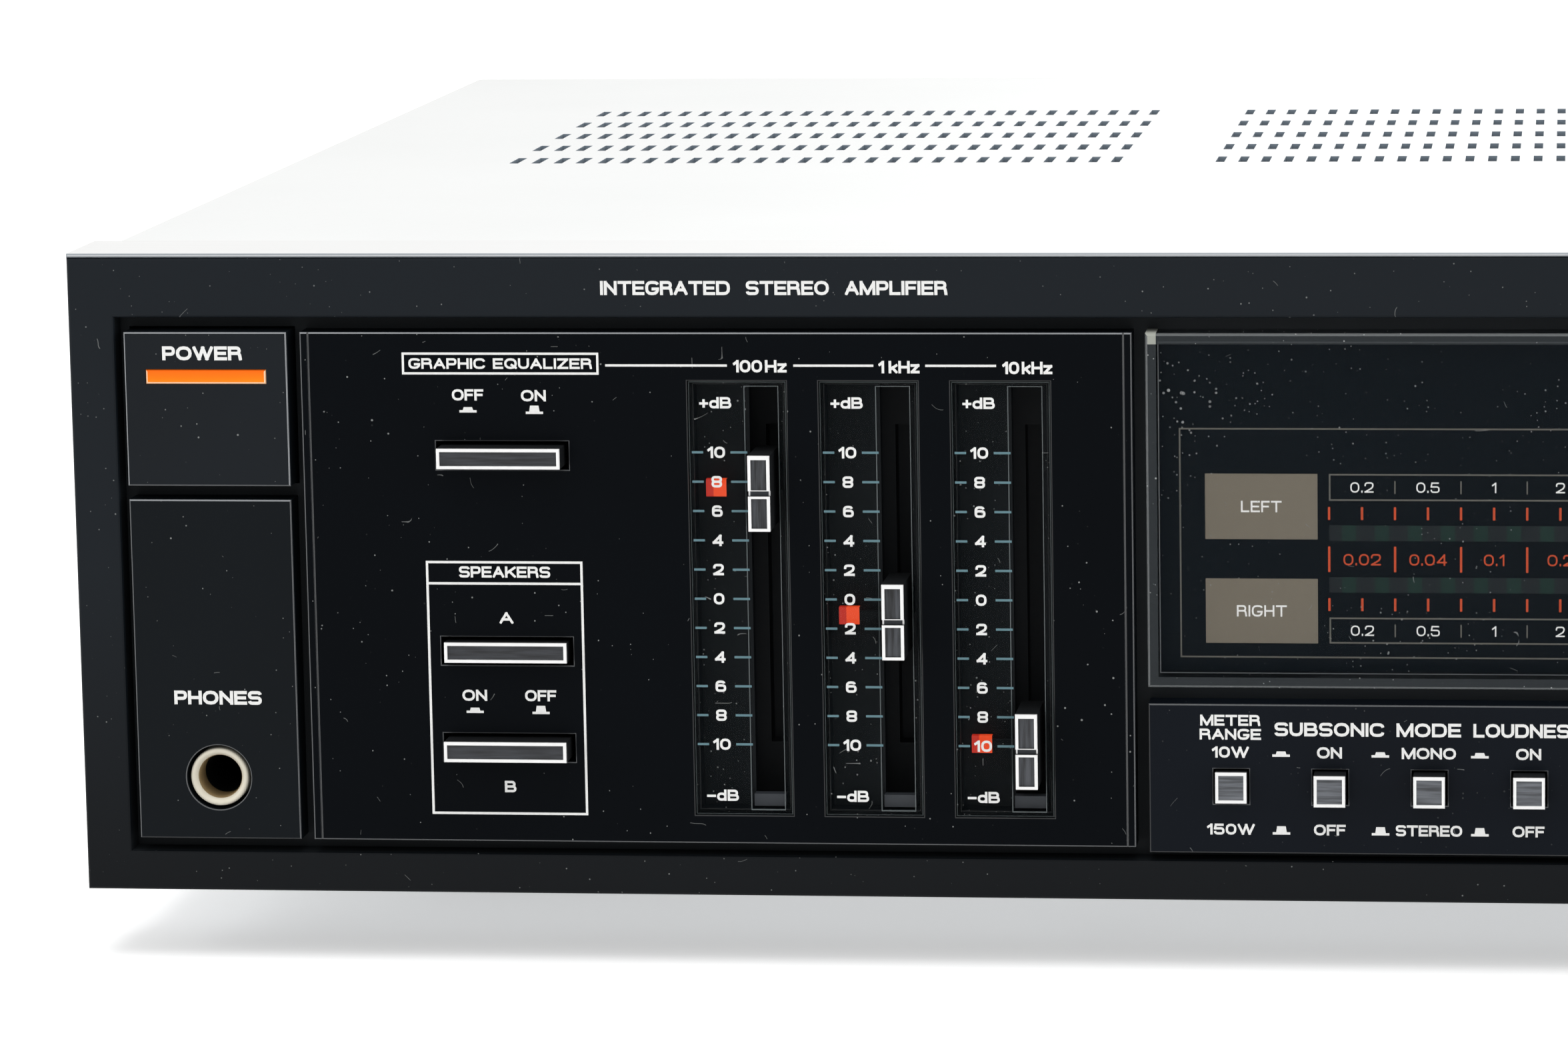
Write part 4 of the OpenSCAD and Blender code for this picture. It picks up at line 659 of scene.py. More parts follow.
def lettering(bm, words, middle, height, width=0.0, turn=FRONT, material=0, weight=0.21):
    """Printed words by their middle, height and whole width; the weight is the pen's share of the height."""
    pen = weight * height
    rise = (height - pen) / PEN_GRID
    total = sum(PEN[c][0] for c in words) + PEN_GAP * (len(words) - 1)
    run = (width - pen) / total if width else rise
    thick = bpy.context.scene.amplifier_sizes.ink
    place = Matrix.Translation(middle) @ turn
    left = -total / 2
    pieces = 0
    overlap = 0.1
    for c in words:
        letter = bmesh.new()
        for code in PEN[c][1].split():
            points, closed, reach = pen_points(code)
            spots = [Vector(((q.x + left) * run, (q.y - PEN_GRID / 2) * rise, 0.0)) * MM for q in points]
            for i, (near, far) in enumerate(zip(spots, spots[1:])):
                way = far - near
                if way.length < WELD:
                    continue
                # Square ends to the stroke, and a little overlap where two pieces of a curve meet
                end = 0.5 if c in "UR" else reach
                lead = overlap if closed or i else end
                tail = overlap if closed or i < len(spots) - 2 else end
                near = near - way.normalized() * pen * lead * MM
                far = far + way.normalized() * pen * tail * MM
                # Each piece is a hair thicker than the last, so that no two faces lie in one plane
                pieces += 1
                depth = thick * (1 + 0.02 * (pieces % 41))
                size = Matrix.Diagonal(((far - near).length, pen * MM, depth, 1.0))
                lie = Matrix.Rotation(math.atan2(way.y, way.x), 4, "Z")
                matrix = Matrix.Translation((near + far) / 2) @ lie @ size
                bmesh.ops.create_cube(letter, size=1.0, matrix=matrix)
        # The corners of slanting strokes are cut off square at the letter's own box, with a hair to spare
        spare = 1.004
        middle_x = (left + PEN[c][0] / 2) * run
        half = (PEN[c][0] * run + pen) / 2 * spare
        tall = height / 2 * spare
        for spot, way in (((middle_x + half, 0.0, 0.0), (1.0, 0.0, 0.0)),
                          ((middle_x - half, 0.0, 0.0), (-1.0, 0.0, 0.0)),
                          ((0.0, tall, 0.0), (0.0, 1.0, 0.0)), ((0.0, -tall, 0.0), (0.0, -1.0, 0.0))):
            cut = slice_at(letter, Vector(spot) * MM, way, clear_outer=True)
            bmesh.ops.holes_fill(letter, edges=only(cut["geom_cut"], bmesh.types.BMEdge), sides=0)
        bmesh.ops.transform(letter, matrix=place, verts=letter.verts)
        set_finish(letter.faces, material)
        join(bm, letter)
        left += PEN[c][0] + PEN_GAP


def join(whole, part):
    """Adds one shape to another."""
    mesh = bpy.data.meshes.new("part")
    part.to_mesh(mesh)
    part.free()
    whole.from_mesh(mesh)
    bpy.data.meshes.remove(mesh)


def make_piece(bm, name, body, finishes, replaced=(), smooth=None):
    """Turns the shape into an object that rides on a body and stands for the replaced nodes."""
    mesh = bpy.data.meshes.new(name)
    bm.to_mesh(mesh)
    bm.free()
    for f in finishes:
        mesh.materials.append(finish(f))
    if smooth:
        mesh.shade_smooth()
        mesh.set_sharp_from_angle(angle=math.radians(smooth))
    piece = bpy.data.objects.new(name, mesh)
    bpy.context.scene.collection.objects.link(piece)
    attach(piece, body)
    if replaced:
        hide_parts(*replaced)
    return piece


def stand_in(bm, node, finishes, smooth=None):
    """A dressed piece in the place of one CAD node."""
    return make_piece(bm, node + "_form", BODY_OF[node], finishes, [node], smooth)


def paint_node(node, name):
    """Gives a CAD node that keeps its own shape a finish."""
    mesh = frame["nodes"][node].data
    mesh.materials.clear()
    mesh.materials.append(finish(name))


def on_front(x, z, y=0.0):
    """A point of the front, from millimetres across, up, and behind the moulding's face."""
    return Vector((x * MM, FACE_Y + y * MM, z * MM))


def printed_bar(bm, x, z, width, height, y, material=0):
    """A printed bar set by its middle, on a surface that lies y millimetres behind the face."""
    thick = bpy.context.scene.amplifier_sizes.ink
    middle = on_front(x, z, y)
    half = Vector((width * MM / 2, thick / 2, height * MM / 2))
    block(bm, middle - half, middle + half, material)


def printed_frame(bm, x0, x1, z0, z1, line, y, material=0):
    """A printed outline between two corners."""
    printed_bar(bm, (x0 + x1) / 2, z1 - line / 2, x1 - x0, line, y, material)
    printed_bar(bm, (x0 + x1) / 2, z0 + line / 2, x1 - x0, line, y, material)
    for x in (x0 + line / 2, x1 - line / 2):
        printed_bar(bm, x, (z0 + z1) / 2, line, z1 - z0 - 2 * line, y, material)


def push_icon(bm, x, z, tall, y, material=0):
    """The sign of a button that is in, low, or out, tall: a plunger on its base."""
    thick = bpy.context.scene.amplifier_sizes.ink
    base = 0.36
    plunger = 0.9 if tall else 0.45
    printed_bar(bm, x, z + base / 2, 2.6, base, y, material)
    low = on_front(x - 0.78, z + base, y) - Vector((0, thick / 2, 0))
    high = on_front(x + 0.78, z + base + plunger, y) + Vector((0, thick / 2, 0))
    verts = block(bm, low, high, material)
    top = [v for v in verts if v.co.z > (low.z + high.z) / 2]
    bmesh.ops.scale(bm, vec=(0.82, 1.0, 1.0), verts=top, space=Matrix.Translation(-on_front(x, z, y)))


class AMPLIFIER_OT_stage(bpy.types.Operator):
    """Makes the floor, the soft lights and the camera"""
    bl_idname = "amplifier.stage"
    bl_label = "Stage"

    def execute(self, context):
        light = context.scene.amplifier_stage
        context.scene.view_settings.view_transform = "Standard"
        bm = bmesh.new()
        bmesh.ops.create_grid(bm, x_segments=8, y_segments=8, size=9.0)
        mesh = bpy.data.meshes.new("studio_floor")
        bm.to_mesh(mesh)
        bm.free()
        mesh.materials.append(self.floor_paint(context))
        floor = bpy.data.objects.new("studio_floor", mesh)
        context.scene.collection.objects.link(floor)
        boxes = (
            ("top_softbox", (-0.15, -0.55, 1.75), (0.0, 0.0, 0.05), 1.3, light.key),
            ("left_softbox", (-1.7, -0.75, 0.75), (-0.1, -0.1, 0.06), 0.8, light.side),
            ("right_softbox", (1.7, -0.75, 0.75), (0.1, -0.1, 0.06), 0.8, light.side),
            ("back_softbox", (0.2, 1.9, 1.2), (0.0, 0.1, 0.05), 1.0, light.side),
        )
        for name, at, aim, size, power in boxes:
            lamp = bpy.data.lights.new(name, "AREA")
            lamp.shape = "SQUARE"
            lamp.size = size
            lamp.energy = power
            holder = bpy.data.objects.new(name, lamp)
            holder.location = at
            holder.rotation_euler = (Vector(aim) - Vector(at)).to_track_quat("-Z", "Y").to_euler()
            context.scene.collection.objects.link(holder)
        world = bpy.data.worlds.new("studio")
        world.use_nodes = True
        context.scene.world = world
        sky = world.node_tree.nodes["Background"]
        sky.inputs["Color"].default_value = linear("#ffffff")
        seen = seen_straight(world.node_tree)
        level = add(world.node_tree, "MapRange", None,
                    {"Value": (seen, "Value"), "To Min": light.sky, "To Max": 0.93})
        world.node_tree.links.new(level.outputs["Result"], sky.inputs["Strength"])
        self.make_camera(context)
        return {"FINISHED"}

    def floor_paint(self, context):
        """Matt white paint; the camera sees it lifted to white, and the shadow stays."""
        material = painted("studio_floor_paint", context.scene.amplifier_colours.floor, rough=0.8, peel=30.0,
                           depth=0.0)
        tree = material.node_tree
        shader = tree.nodes["Principled BSDF"]
        seen = seen_straight(tree)
        level = context.scene.amplifier_stage.lift
        place = (add(tree, "TexCoord"), "Object")
        away = add(tree, "VectorMath", {"operation": "LENGTH"}, {0: place})
        rise = add(tree, "MapRange", {"interpolation_type": "SMOOTHSTEP"},
                   {"Value": (away, "Value"), "From Min": 0.5, "From Max": 2.5,
                    "To Min": level, "To Max": level + 0.25})
        lift = add(tree, "Math", {"operation": "MULTIPLY"}, {0: (seen, "Value"), 1: (rise, "Result")})
        shader.inputs["Emission Color"].default_value = linear("#ffffff")
        tree.links.new(lift.outputs["Value"], shader.inputs["Emission Strength"])
        return material

    def make_camera(self, context):
        """The photograph's view: from the front, a little above and to the right of what it shows."""
        yaw, pitch, roll = (math.radians(angle) for angle in CAMERA_TURN)
        ahead_way = Vector((math.sin(yaw) * math.cos(pitch), math.cos(yaw) * math.cos(pitch),
                            math.sin(pitch)))
        right = Vector((math.cos(yaw), -math.sin(yaw), 0.0))
        up = right.cross(ahead_way)
        across = math.cos(roll) * right + math.sin(roll) * up
        upward = math.cos(roll) * up - math.sin(roll) * right
        data = bpy.data.cameras.new("photo_camera")
        data.lens = CAMERA_LENS
        data.sensor_width = 36.0
        data.shift_x, data.shift_y = CAMERA_SHIFT
        data.clip_start = 0.05
        data.clip_end = 60.0
        camera = bpy.data.objects.new("photo_camera", data)
        turn = Matrix((across, upward, -ahead_way)).transposed().to_4x4()
        camera.matrix_world = Matrix.Translation(CAMERA_PLACE) @ turn
        context.scene.collection.objects.link(camera)
        context.scene.camera = camera


class AMPLIFIER_OT_front_moulding(bpy.types.Operator):
    """Makes the black front moulding and the pale strip on top of it"""
    bl_idname = "amplifier.front_moulding"
    bl_label = "Front Moulding"

    def execute(self, context):
        size = context.scene.amplifier_sizes
        bm = merged_copy("front_panel")
        round_edges(bm, sharp_edges(bm, ahead(FACE_Y + 0.1 * MM)), size.mould_edge)
        # The walls and floor of the recess get a greyer finish, painted light against their shade
        set_finish([f for f in bm.faces
                    if FACE_Y + 0.6 * MM < f.calc_center_median().y < FACE_Y + 5 * MM], 1)
        stand_in(bm, "front_panel", ["moulded_abs_black", "moulded_abs_recess_painted_light"])
        bm = merged_copy("front_trim")
        # The trim's front edge gets a darker grey, painted shade
        set_finish(round_edges(bm, sharp_edges(bm, ahead(FACE_Y + 0.1 * MM)), 0.26 * MM), 1)
        stand_in(bm, "front_trim", ["anodised_aluminium_trim", "anodised_aluminium_edge_painted_shade"])
        return {"FINISHED"}


class AMPLIFIER_OT_front_panels(bpy.types.Operator):
    """Makes the four black panels in the front's recess"""
    bl_idname = "amplifier.front_panels"
    bl_label = "Front Panels"

    def execute(self, context):
        size = context.scene.amplifier_sizes
        # The painted edge highlights of each: 1 is light, 2 dim and 3 faint
        for node, skin, *edges in (("eq_panel", "moulded_abs_panel", 1, 2, 2),
                                   ("phones_panel", "moulded_abs_phones", 1, 2, 3),
                                   ("volume_panel", "moulded_abs_panel", 1, 2, 2),
                                   ("button_strip", "moulded_abs_strip", 2, 3, 3)):
            bm = merged_copy(node)
            low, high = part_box(node)
            outer = outer_edges(bm, low, high)
            inner = [e for e in sharp_edges(bm, ahead(low.y + SKIN)) if e not in outer]
            light_edges(round_edges(bm, outer, size.panel_edge), *edges)
            inner = [e for e in inner if e.is_valid]
            # Edges of the openings get a dim painted highlight, and a faint one at the sliders
            for f in round_edges(bm, inner, size.opening_edge):
                at_sliders = node == "eq_panel" and f.calc_center_median().x > -130 * MM
                f.material_index = 3 if at_sliders else 2
            if node == "eq_panel":
                self.mark_ribs(bm, low, high)
                self.mark_ledges(bm)
            stand_in(bm, node, [skin, "abs_edge_painted_highlight", "abs_edge_painted_highlight_dim",
                                "abs_edge_painted_highlight_faint", "moulded_abs_recess_painted_light"])
        return {"FINISHED"}

    def mark_ribs(self, bm, low, high):
        """The walls of the fine grooves beside the equaliser's ribs get the dim painted highlight."""
        for f in bm.faces:
            middle = f.calc_center_median()
            across = min(middle.x - low.x, high.x - middle.x)
            groove = 1.0 * MM < across < 1.5 * MM and middle.y > low.y + TINY
            if groove and f.normal.y < FACING:
                f.material_index = 2

    def mark_ledges(self, bm):
        """The ledges that carry the scale inserts show through them; they get the greyer recess finish,
        painted light against their shade, and their rim a faint painted highlight.
        """
        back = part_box("scale_inserts")[1].y
        set_finish([f for f in bm.faces
                    if f.normal.y < -FACING and abs(f.calc_center_median().y - back) < SKIN], 4)
        rim = sharp_edges(bm, lambda e: all(abs(v.co.y - back) < SKIN for v in e.verts))
        rim = [e for e in rim
               if any(f.normal.y > -FACING and f.calc_center_median().y > back for f in e.link_faces)]
        set_finish(round_edges(bm, rim, 0.12 * MM), 3)


class AMPLIFIER_OT_power_button(bpy.types.Operator):
    """Makes the power button with its orange stripe and its word"""
    bl_idname = "amplifier.power_button"
    bl_label = "Power Button"

    def execute(self, context):
        size = context.scene.amplifier_sizes
        bm = merged_copy("power_button")
        low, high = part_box("power_button")
        # Painted highlights along the top and sides of the button, a dimmer one at its foot
        light_edges(round_edges(bm, outer_edges(bm, low, high), size.panel_edge), 1, 1, 2)
        stand_in(bm, "power_button", ["moulded_abs_worn", "abs_edge_painted_highlight", "abs_edge_painted_highlight_dim"])
        bm = merged_copy("power_stripe")
        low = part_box("power_stripe")[0]
        rim = round_edges(bm, sharp_edges(bm, ahead(low.y + SKIN)), 0.3 * MM)
        # The sides and foot of the stripe's rim get the pale edge finish, a painted highlight
        set_finish([f for f in rim if f.normal.z < 0.3], 1)
        stand_in(bm, "power_stripe", ["moulded_abs_orange", "moulded_abs_orange_painted_highlight"])
        bm = bmesh.new()
        lettering(bm, "POWER", on_front(-199.5, 93.15, POWER_PRINT), 2.1, 12.1, weight=0.23)
        make_piece(bm, "power_word", "power", ["screen_ink_white"])
        return {"FINISHED"}


def sink(bm, face, depth):
    """Moves a face back into its piece and returns the new floor."""
    sunk = bmesh.ops.extrude_face_region(bm, geom=[face])["geom"]
    bmesh.ops.translate(bm, vec=(0.0, depth, 0.0), verts=only(sunk, bmesh.types.BMVert))
    bmesh.ops.delete(bm, geom=[face], context="FACES_ONLY")
    return only(sunk, bmesh.types.BMFace)


def capped(node, size, centre):
    """A push button's cap: a bright rim round a sunk brushed centre, on a black body."""
    bm = merged_copy(node)
    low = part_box(node)[0]
    wrap = low.y + size.cap_wrap
    slice_at(bm, (0.0, wrap, 0.0), (0.0, 1.0, 0.0))
    for f in bm.faces:
        f.material_index = 0 if f.calc_center_median().y < wrap else 2
    face = min(bm.faces, key=lambda f: f.calc_center_median().y)
    round_edges(bm, list(face.edges), 0.08 * MM)
    face = min(bm.faces, key=lambda f: (round(f.calc_center_median().y, 6), -f.calc_area()))
    bmesh.ops.inset_region(bm, faces=[face], thickness=size.cap_rim, depth=0.0, use_even_offset=True)
    set_finish(sink(bm, face, size.cap_sink), 1)
    bmesh.ops.recalc_face_normals(bm, faces=bm.faces)
    return stand_in(bm, node, ["bright_foil_rim", centre, "moulded_abs_plain"])


class AMPLIFIER_OT_push_buttons(bpy.types.Operator):
    """Makes the slim and the square push buttons and the balance slider's cap"""
    bl_idname = "amplifier.push_buttons"
    bl_label = "Push Buttons"

    def execute(self, context):
        size = context.scene.amplifier_sizes
        for node in ("eq_button", "speaker_a_button", "speaker_b_button"):
            capped(node, size, "brushed_foil_slim")
        for node in ("meter_range_button", "subsonic_button", "mode_button", "loudness_button",
                     "tape_1_button", "tape_2_button"):
            capped(node, size, "brushed_foil_square")
        capped("balance_slider", size, "brushed_foil_slider")
        return {"FINISHED"}


class AMPLIFIER_OT_equaliser(bpy.types.Operator):
    """Makes the three smoked scale inserts, the sliders and the flags behind them"""
    bl_idname = "amplifier.equaliser"
    bl_label = "Equaliser Sliders"

    def execute(self, context):
        size = context.scene.amplifier_sizes
        bm = merged_copy("scale_inserts")
        front = ahead(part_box("scale_inserts")[0].y + SKIN)
        # The inserts' cut edges get the paler finish, partly a painted highlight
        set_finish(round_edges(bm, sharp_edges(bm, front), size.insert_edge), 1)
        stand_in(bm, "scale_inserts", ["cast_acrylic_smoked", "cast_acrylic_smoked_edge"])
        bm = bmesh.new()
        for i, band in enumerate(("bass", "mid", "treble")):
            self.make_slider(band + "_slider", size)
            self.make_flag(band + "_flag")
            x = -115.55 + SLIDER_STEP * i
            # A stop at the foot of each slot, its grey lifted as painted light against the slot's shade
            block(bm, on_front(x - 2.4, 24.45, 1.6), on_front(x + 2.4, 26.3, 3.4))
        make_piece(bm, "slot_stops", "chassis", ["moulded_abs_grey"])
        return {"FINISHED"}

    def make_slider(self, node, size):
        """Two bright rimmed pads with a dark groove between them."""
        bm = merged_copy(node)
        low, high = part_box(node)
        wrap = low.y + size.cap_wrap
        slice_at(bm, (0.0, wrap, 0.0), (0.0, 1.0, 0.0))
        for f in bm.faces:
            middle = f.calc_center_median()
            groove = low.z + 1 * MM < middle.z < high.z - 1 * MM and abs(f.normal.x) < 0.5
            f.material_index = 0 if middle.y < wrap and not groove else 2
        pads = [f for f in bm.faces
                if f.normal.y < -FACING and abs(f.calc_center_median().y - low.y) < SAME]
        for face in pads:
            self.sink_pad(bm, face, (low.z + high.z) / 2, size.cap_sink)
        floor = [f for f in bm.faces if f.material_index == 2 and f.normal.y < -FACING
                 and low.z + 1 * MM < f.calc_center_median().z < high.z - 1 * MM]
        # The groove is grey between two bright ends
        ends = (low.x + 0.26 * MM, high.x - 0.26 * MM)
        for x in ends:
            geom = list({g for f in floor if f.is_valid for g in (f, *f.edges, *f.verts)})
            cut = bmesh.ops.bisect_plane(bm, geom=geom, plane_co=(x, 0.0, 0.0), plane_no=(1.0, 0.0, 0.0))
            floor = only(cut["geom"], bmesh.types.BMFace)
        for f in floor:
            f.material_index = 3 if ends[0] < f.calc_center_median().x < ends[1] else 0
        bmesh.ops.recalc_face_normals(bm, faces=bm.faces)
        stand_in(bm, node, ["bright_foil_rim", "brushed_foil_slider", "moulded_abs_plain",
                            "moulded_abs_grey"])

    def sink_pad(self, bm, face, middle, depth):
        """Sinks one pad behind its rim; the upper pad's rim is open towards the groove."""
        foot = min(v.co.z for v in face.verts)
        head = max(v.co.z for v in face.verts)
        upper = foot > middle
        ring = bmesh.ops.inset_region(bm, faces=[face], thickness=0.46 * MM, depth=0.0,
                                      use_even_offset=True)
        for v in face.verts:
            if v.co.z < (foot + head) / 2:
                v.co.z = foot + (0.12 if upper else 0.44) * MM
            else:
                v.co.z = head - (0.6 if upper else 0.36) * MM
        floor = sink(bm, face, depth)
        set_finish(ring["faces"], 0)
        set_finish(floor, 1)

    def make_flag(self, node):
        """A red marker in two tones on its thin arm: the darker left tone is painted shade, and the arm is
        greyer as painted light.
        """
        bm = merged_copy(node)
        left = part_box(node)[0].x
        cuts = (left + 1.1 * MM, left + 3.05 * MM)
        for cut in cuts:
            slice_at(bm, (cut, 0.0, 0.0), (1.0, 0.0, 0.0))
        for f in bm.faces:
            x = f.calc_center_median().x
            f.material_index = 0 if x < cuts[0] else 1 if x < cuts[1] else 2
        stand_in(bm, node, ["acrylic_red_painted_shade", "acrylic_red_light", "moulded_abs_recess_painted_light"])


class AMPLIFIER_OT_meter(bpy.types.Operator):
    """Makes the meter window and the printed scale behind it"""
    bl_idname = "amplifier.meter"
    bl_label = "Meters"

    def execute(self, context):
        size = context.scene.amplifier_sizes
        bm = merged_copy("meter_window")
        low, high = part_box("meter_window")
        # The rim gets a grey painted highlight, and the inner edges a paler one
        rim = sharp_edges(bm, ahead(low.y + SKIN))
        set_finish(round_edges(bm, rim, size.acrylic_edge), 1)
        floor = low.y + 3.0 * MM
        inner = sharp_edges(bm, lambda e: all(abs(v.co.y - floor) < SAME for v in e.verts))
        set_finish(round_edges(bm, inner, 0.16 * MM), 2)
        wall = 1.6 * MM
        for k, at in ((0, low.x + wall), (0, high.x - wall), (2, low.z + wall), (2, high.z - wall)):
            way = Vector((0.0, 0.0, 0.0))
            way[k] = 1.0
            slice_at(bm, way * at, way)
        for f in bm.faces:
            middle = f.calc_center_median()
            inside = low.x + wall < middle.x < high.x - wall and low.z + wall < middle.z < high.z - wall
            # The walls seen end on, round the clear face, are painted dark as shade
            if f.normal.y < -FACING and abs(middle.y - low.y) < SAME and not inside:
                f.material_index = 3
            gate = middle.x < low.x + wall and middle.z > high.z - wall
            if gate and f.normal.z > -0.1 and f.normal.x > -0.3:
                f.material_index = 4
        stand_in(bm, "meter_window", ["cast_acrylic_clear", "cast_acrylic_edge_painted_highlight", "cast_acrylic_corner_painted_highlight",
                                      "cast_acrylic_wall_painted_shade", "cast_acrylic_gate"])
        paint_node("meter_scale", "printed_black")
        self.print_scale()
        return {"FINISHED"}

    def print_scale(self):
        """Boxes, ticks, numbers and unlit segments of both channels."""
        bm = bmesh.new()
        white, taupe, line, orange, green, dim = range(6)
        y = SCALE_PRINT
        first = -31.8
        steps = 10
        last = first + METER_STEP * steps
        word_x = -41.8
        hairline = 0.22
        tick = 0.34
        printed_frame(bm, -53.9, 70.9, 47.3, 81.7, hairline, y, line)
        watts = ("0.2", "0.5", "1", "2", "5", "10", "20", "50", "100", "150")
        low_watts = ("0.02", "0.04", "0.1", "0.2", "0.4", "1", "2", "4", "8", "10")
        # Each channel's name and its width, the taupe box, the box of numbers, the ticks and the lamps
        for name, wide, (z0, z1), (low, high), tick_z, lamp_z in (
                ("LEFT", 6.0, (65.1, 74.9), (70.9, 74.9), 69.0, 66.05),
                ("RIGHT", 7.4, (49.5, 59.2), (49.5, 53.4), 55.35, 58.3)):
            printed_bar(bm, word_x, (z0 + z1) / 2, 16.6, z1 - z0, y, taupe)
            lettering(bm, name, on_front(word_x, (z0 + z1) / 2, y - 0.03), 1.7, wide, material=white,
                      weight=0.15)
            printed_frame(bm, first, last, low, high, hairline, y, line)
            printed_bar(bm, (first + last) / 2, lamp_z, last - first, 2.3, y, dim)
            for i, word in enumerate(watts):
                lettering(bm, word, on_front(first + (i + 0.5) * METER_STEP, (low + high) / 2, y), 1.55,
                          material=white, weight=0.13)
                if i:
                    printed_bar(bm, first + i * METER_STEP, (low + high) / 2, 0.2, 1.9, y, line)
            for i in range(2 * steps + 1):
                printed_bar(bm, first + i * METER_STEP / 2, tick_z, tick, 1.9, y, orange)
            for i in range(2 * steps):
                printed_bar(bm, first + (i + 0.6) * METER_STEP / 2, lamp_z, 2.1, 2.3, y - 0.02, green)
        for i, word in enumerate(low_watts):
            printed_bar(bm, first + i * METER_STEP, 62.15, tick, 3.8, y, orange)
            lettering(bm, word, on_front(first + (i + 0.5) * METER_STEP, 62.1, y), 1.7, material=orange,
                      weight=0.13)
        printed_bar(bm, last, 62.15, tick, 3.8, y, orange)
        make_piece(bm, "meter_print", "chassis", ["screen_ink_backed_painted_light", "screen_ink_taupe", "screen_ink_line",
                                                  "screen_ink_orange", "screen_ink_green", "screen_ink_dim"])


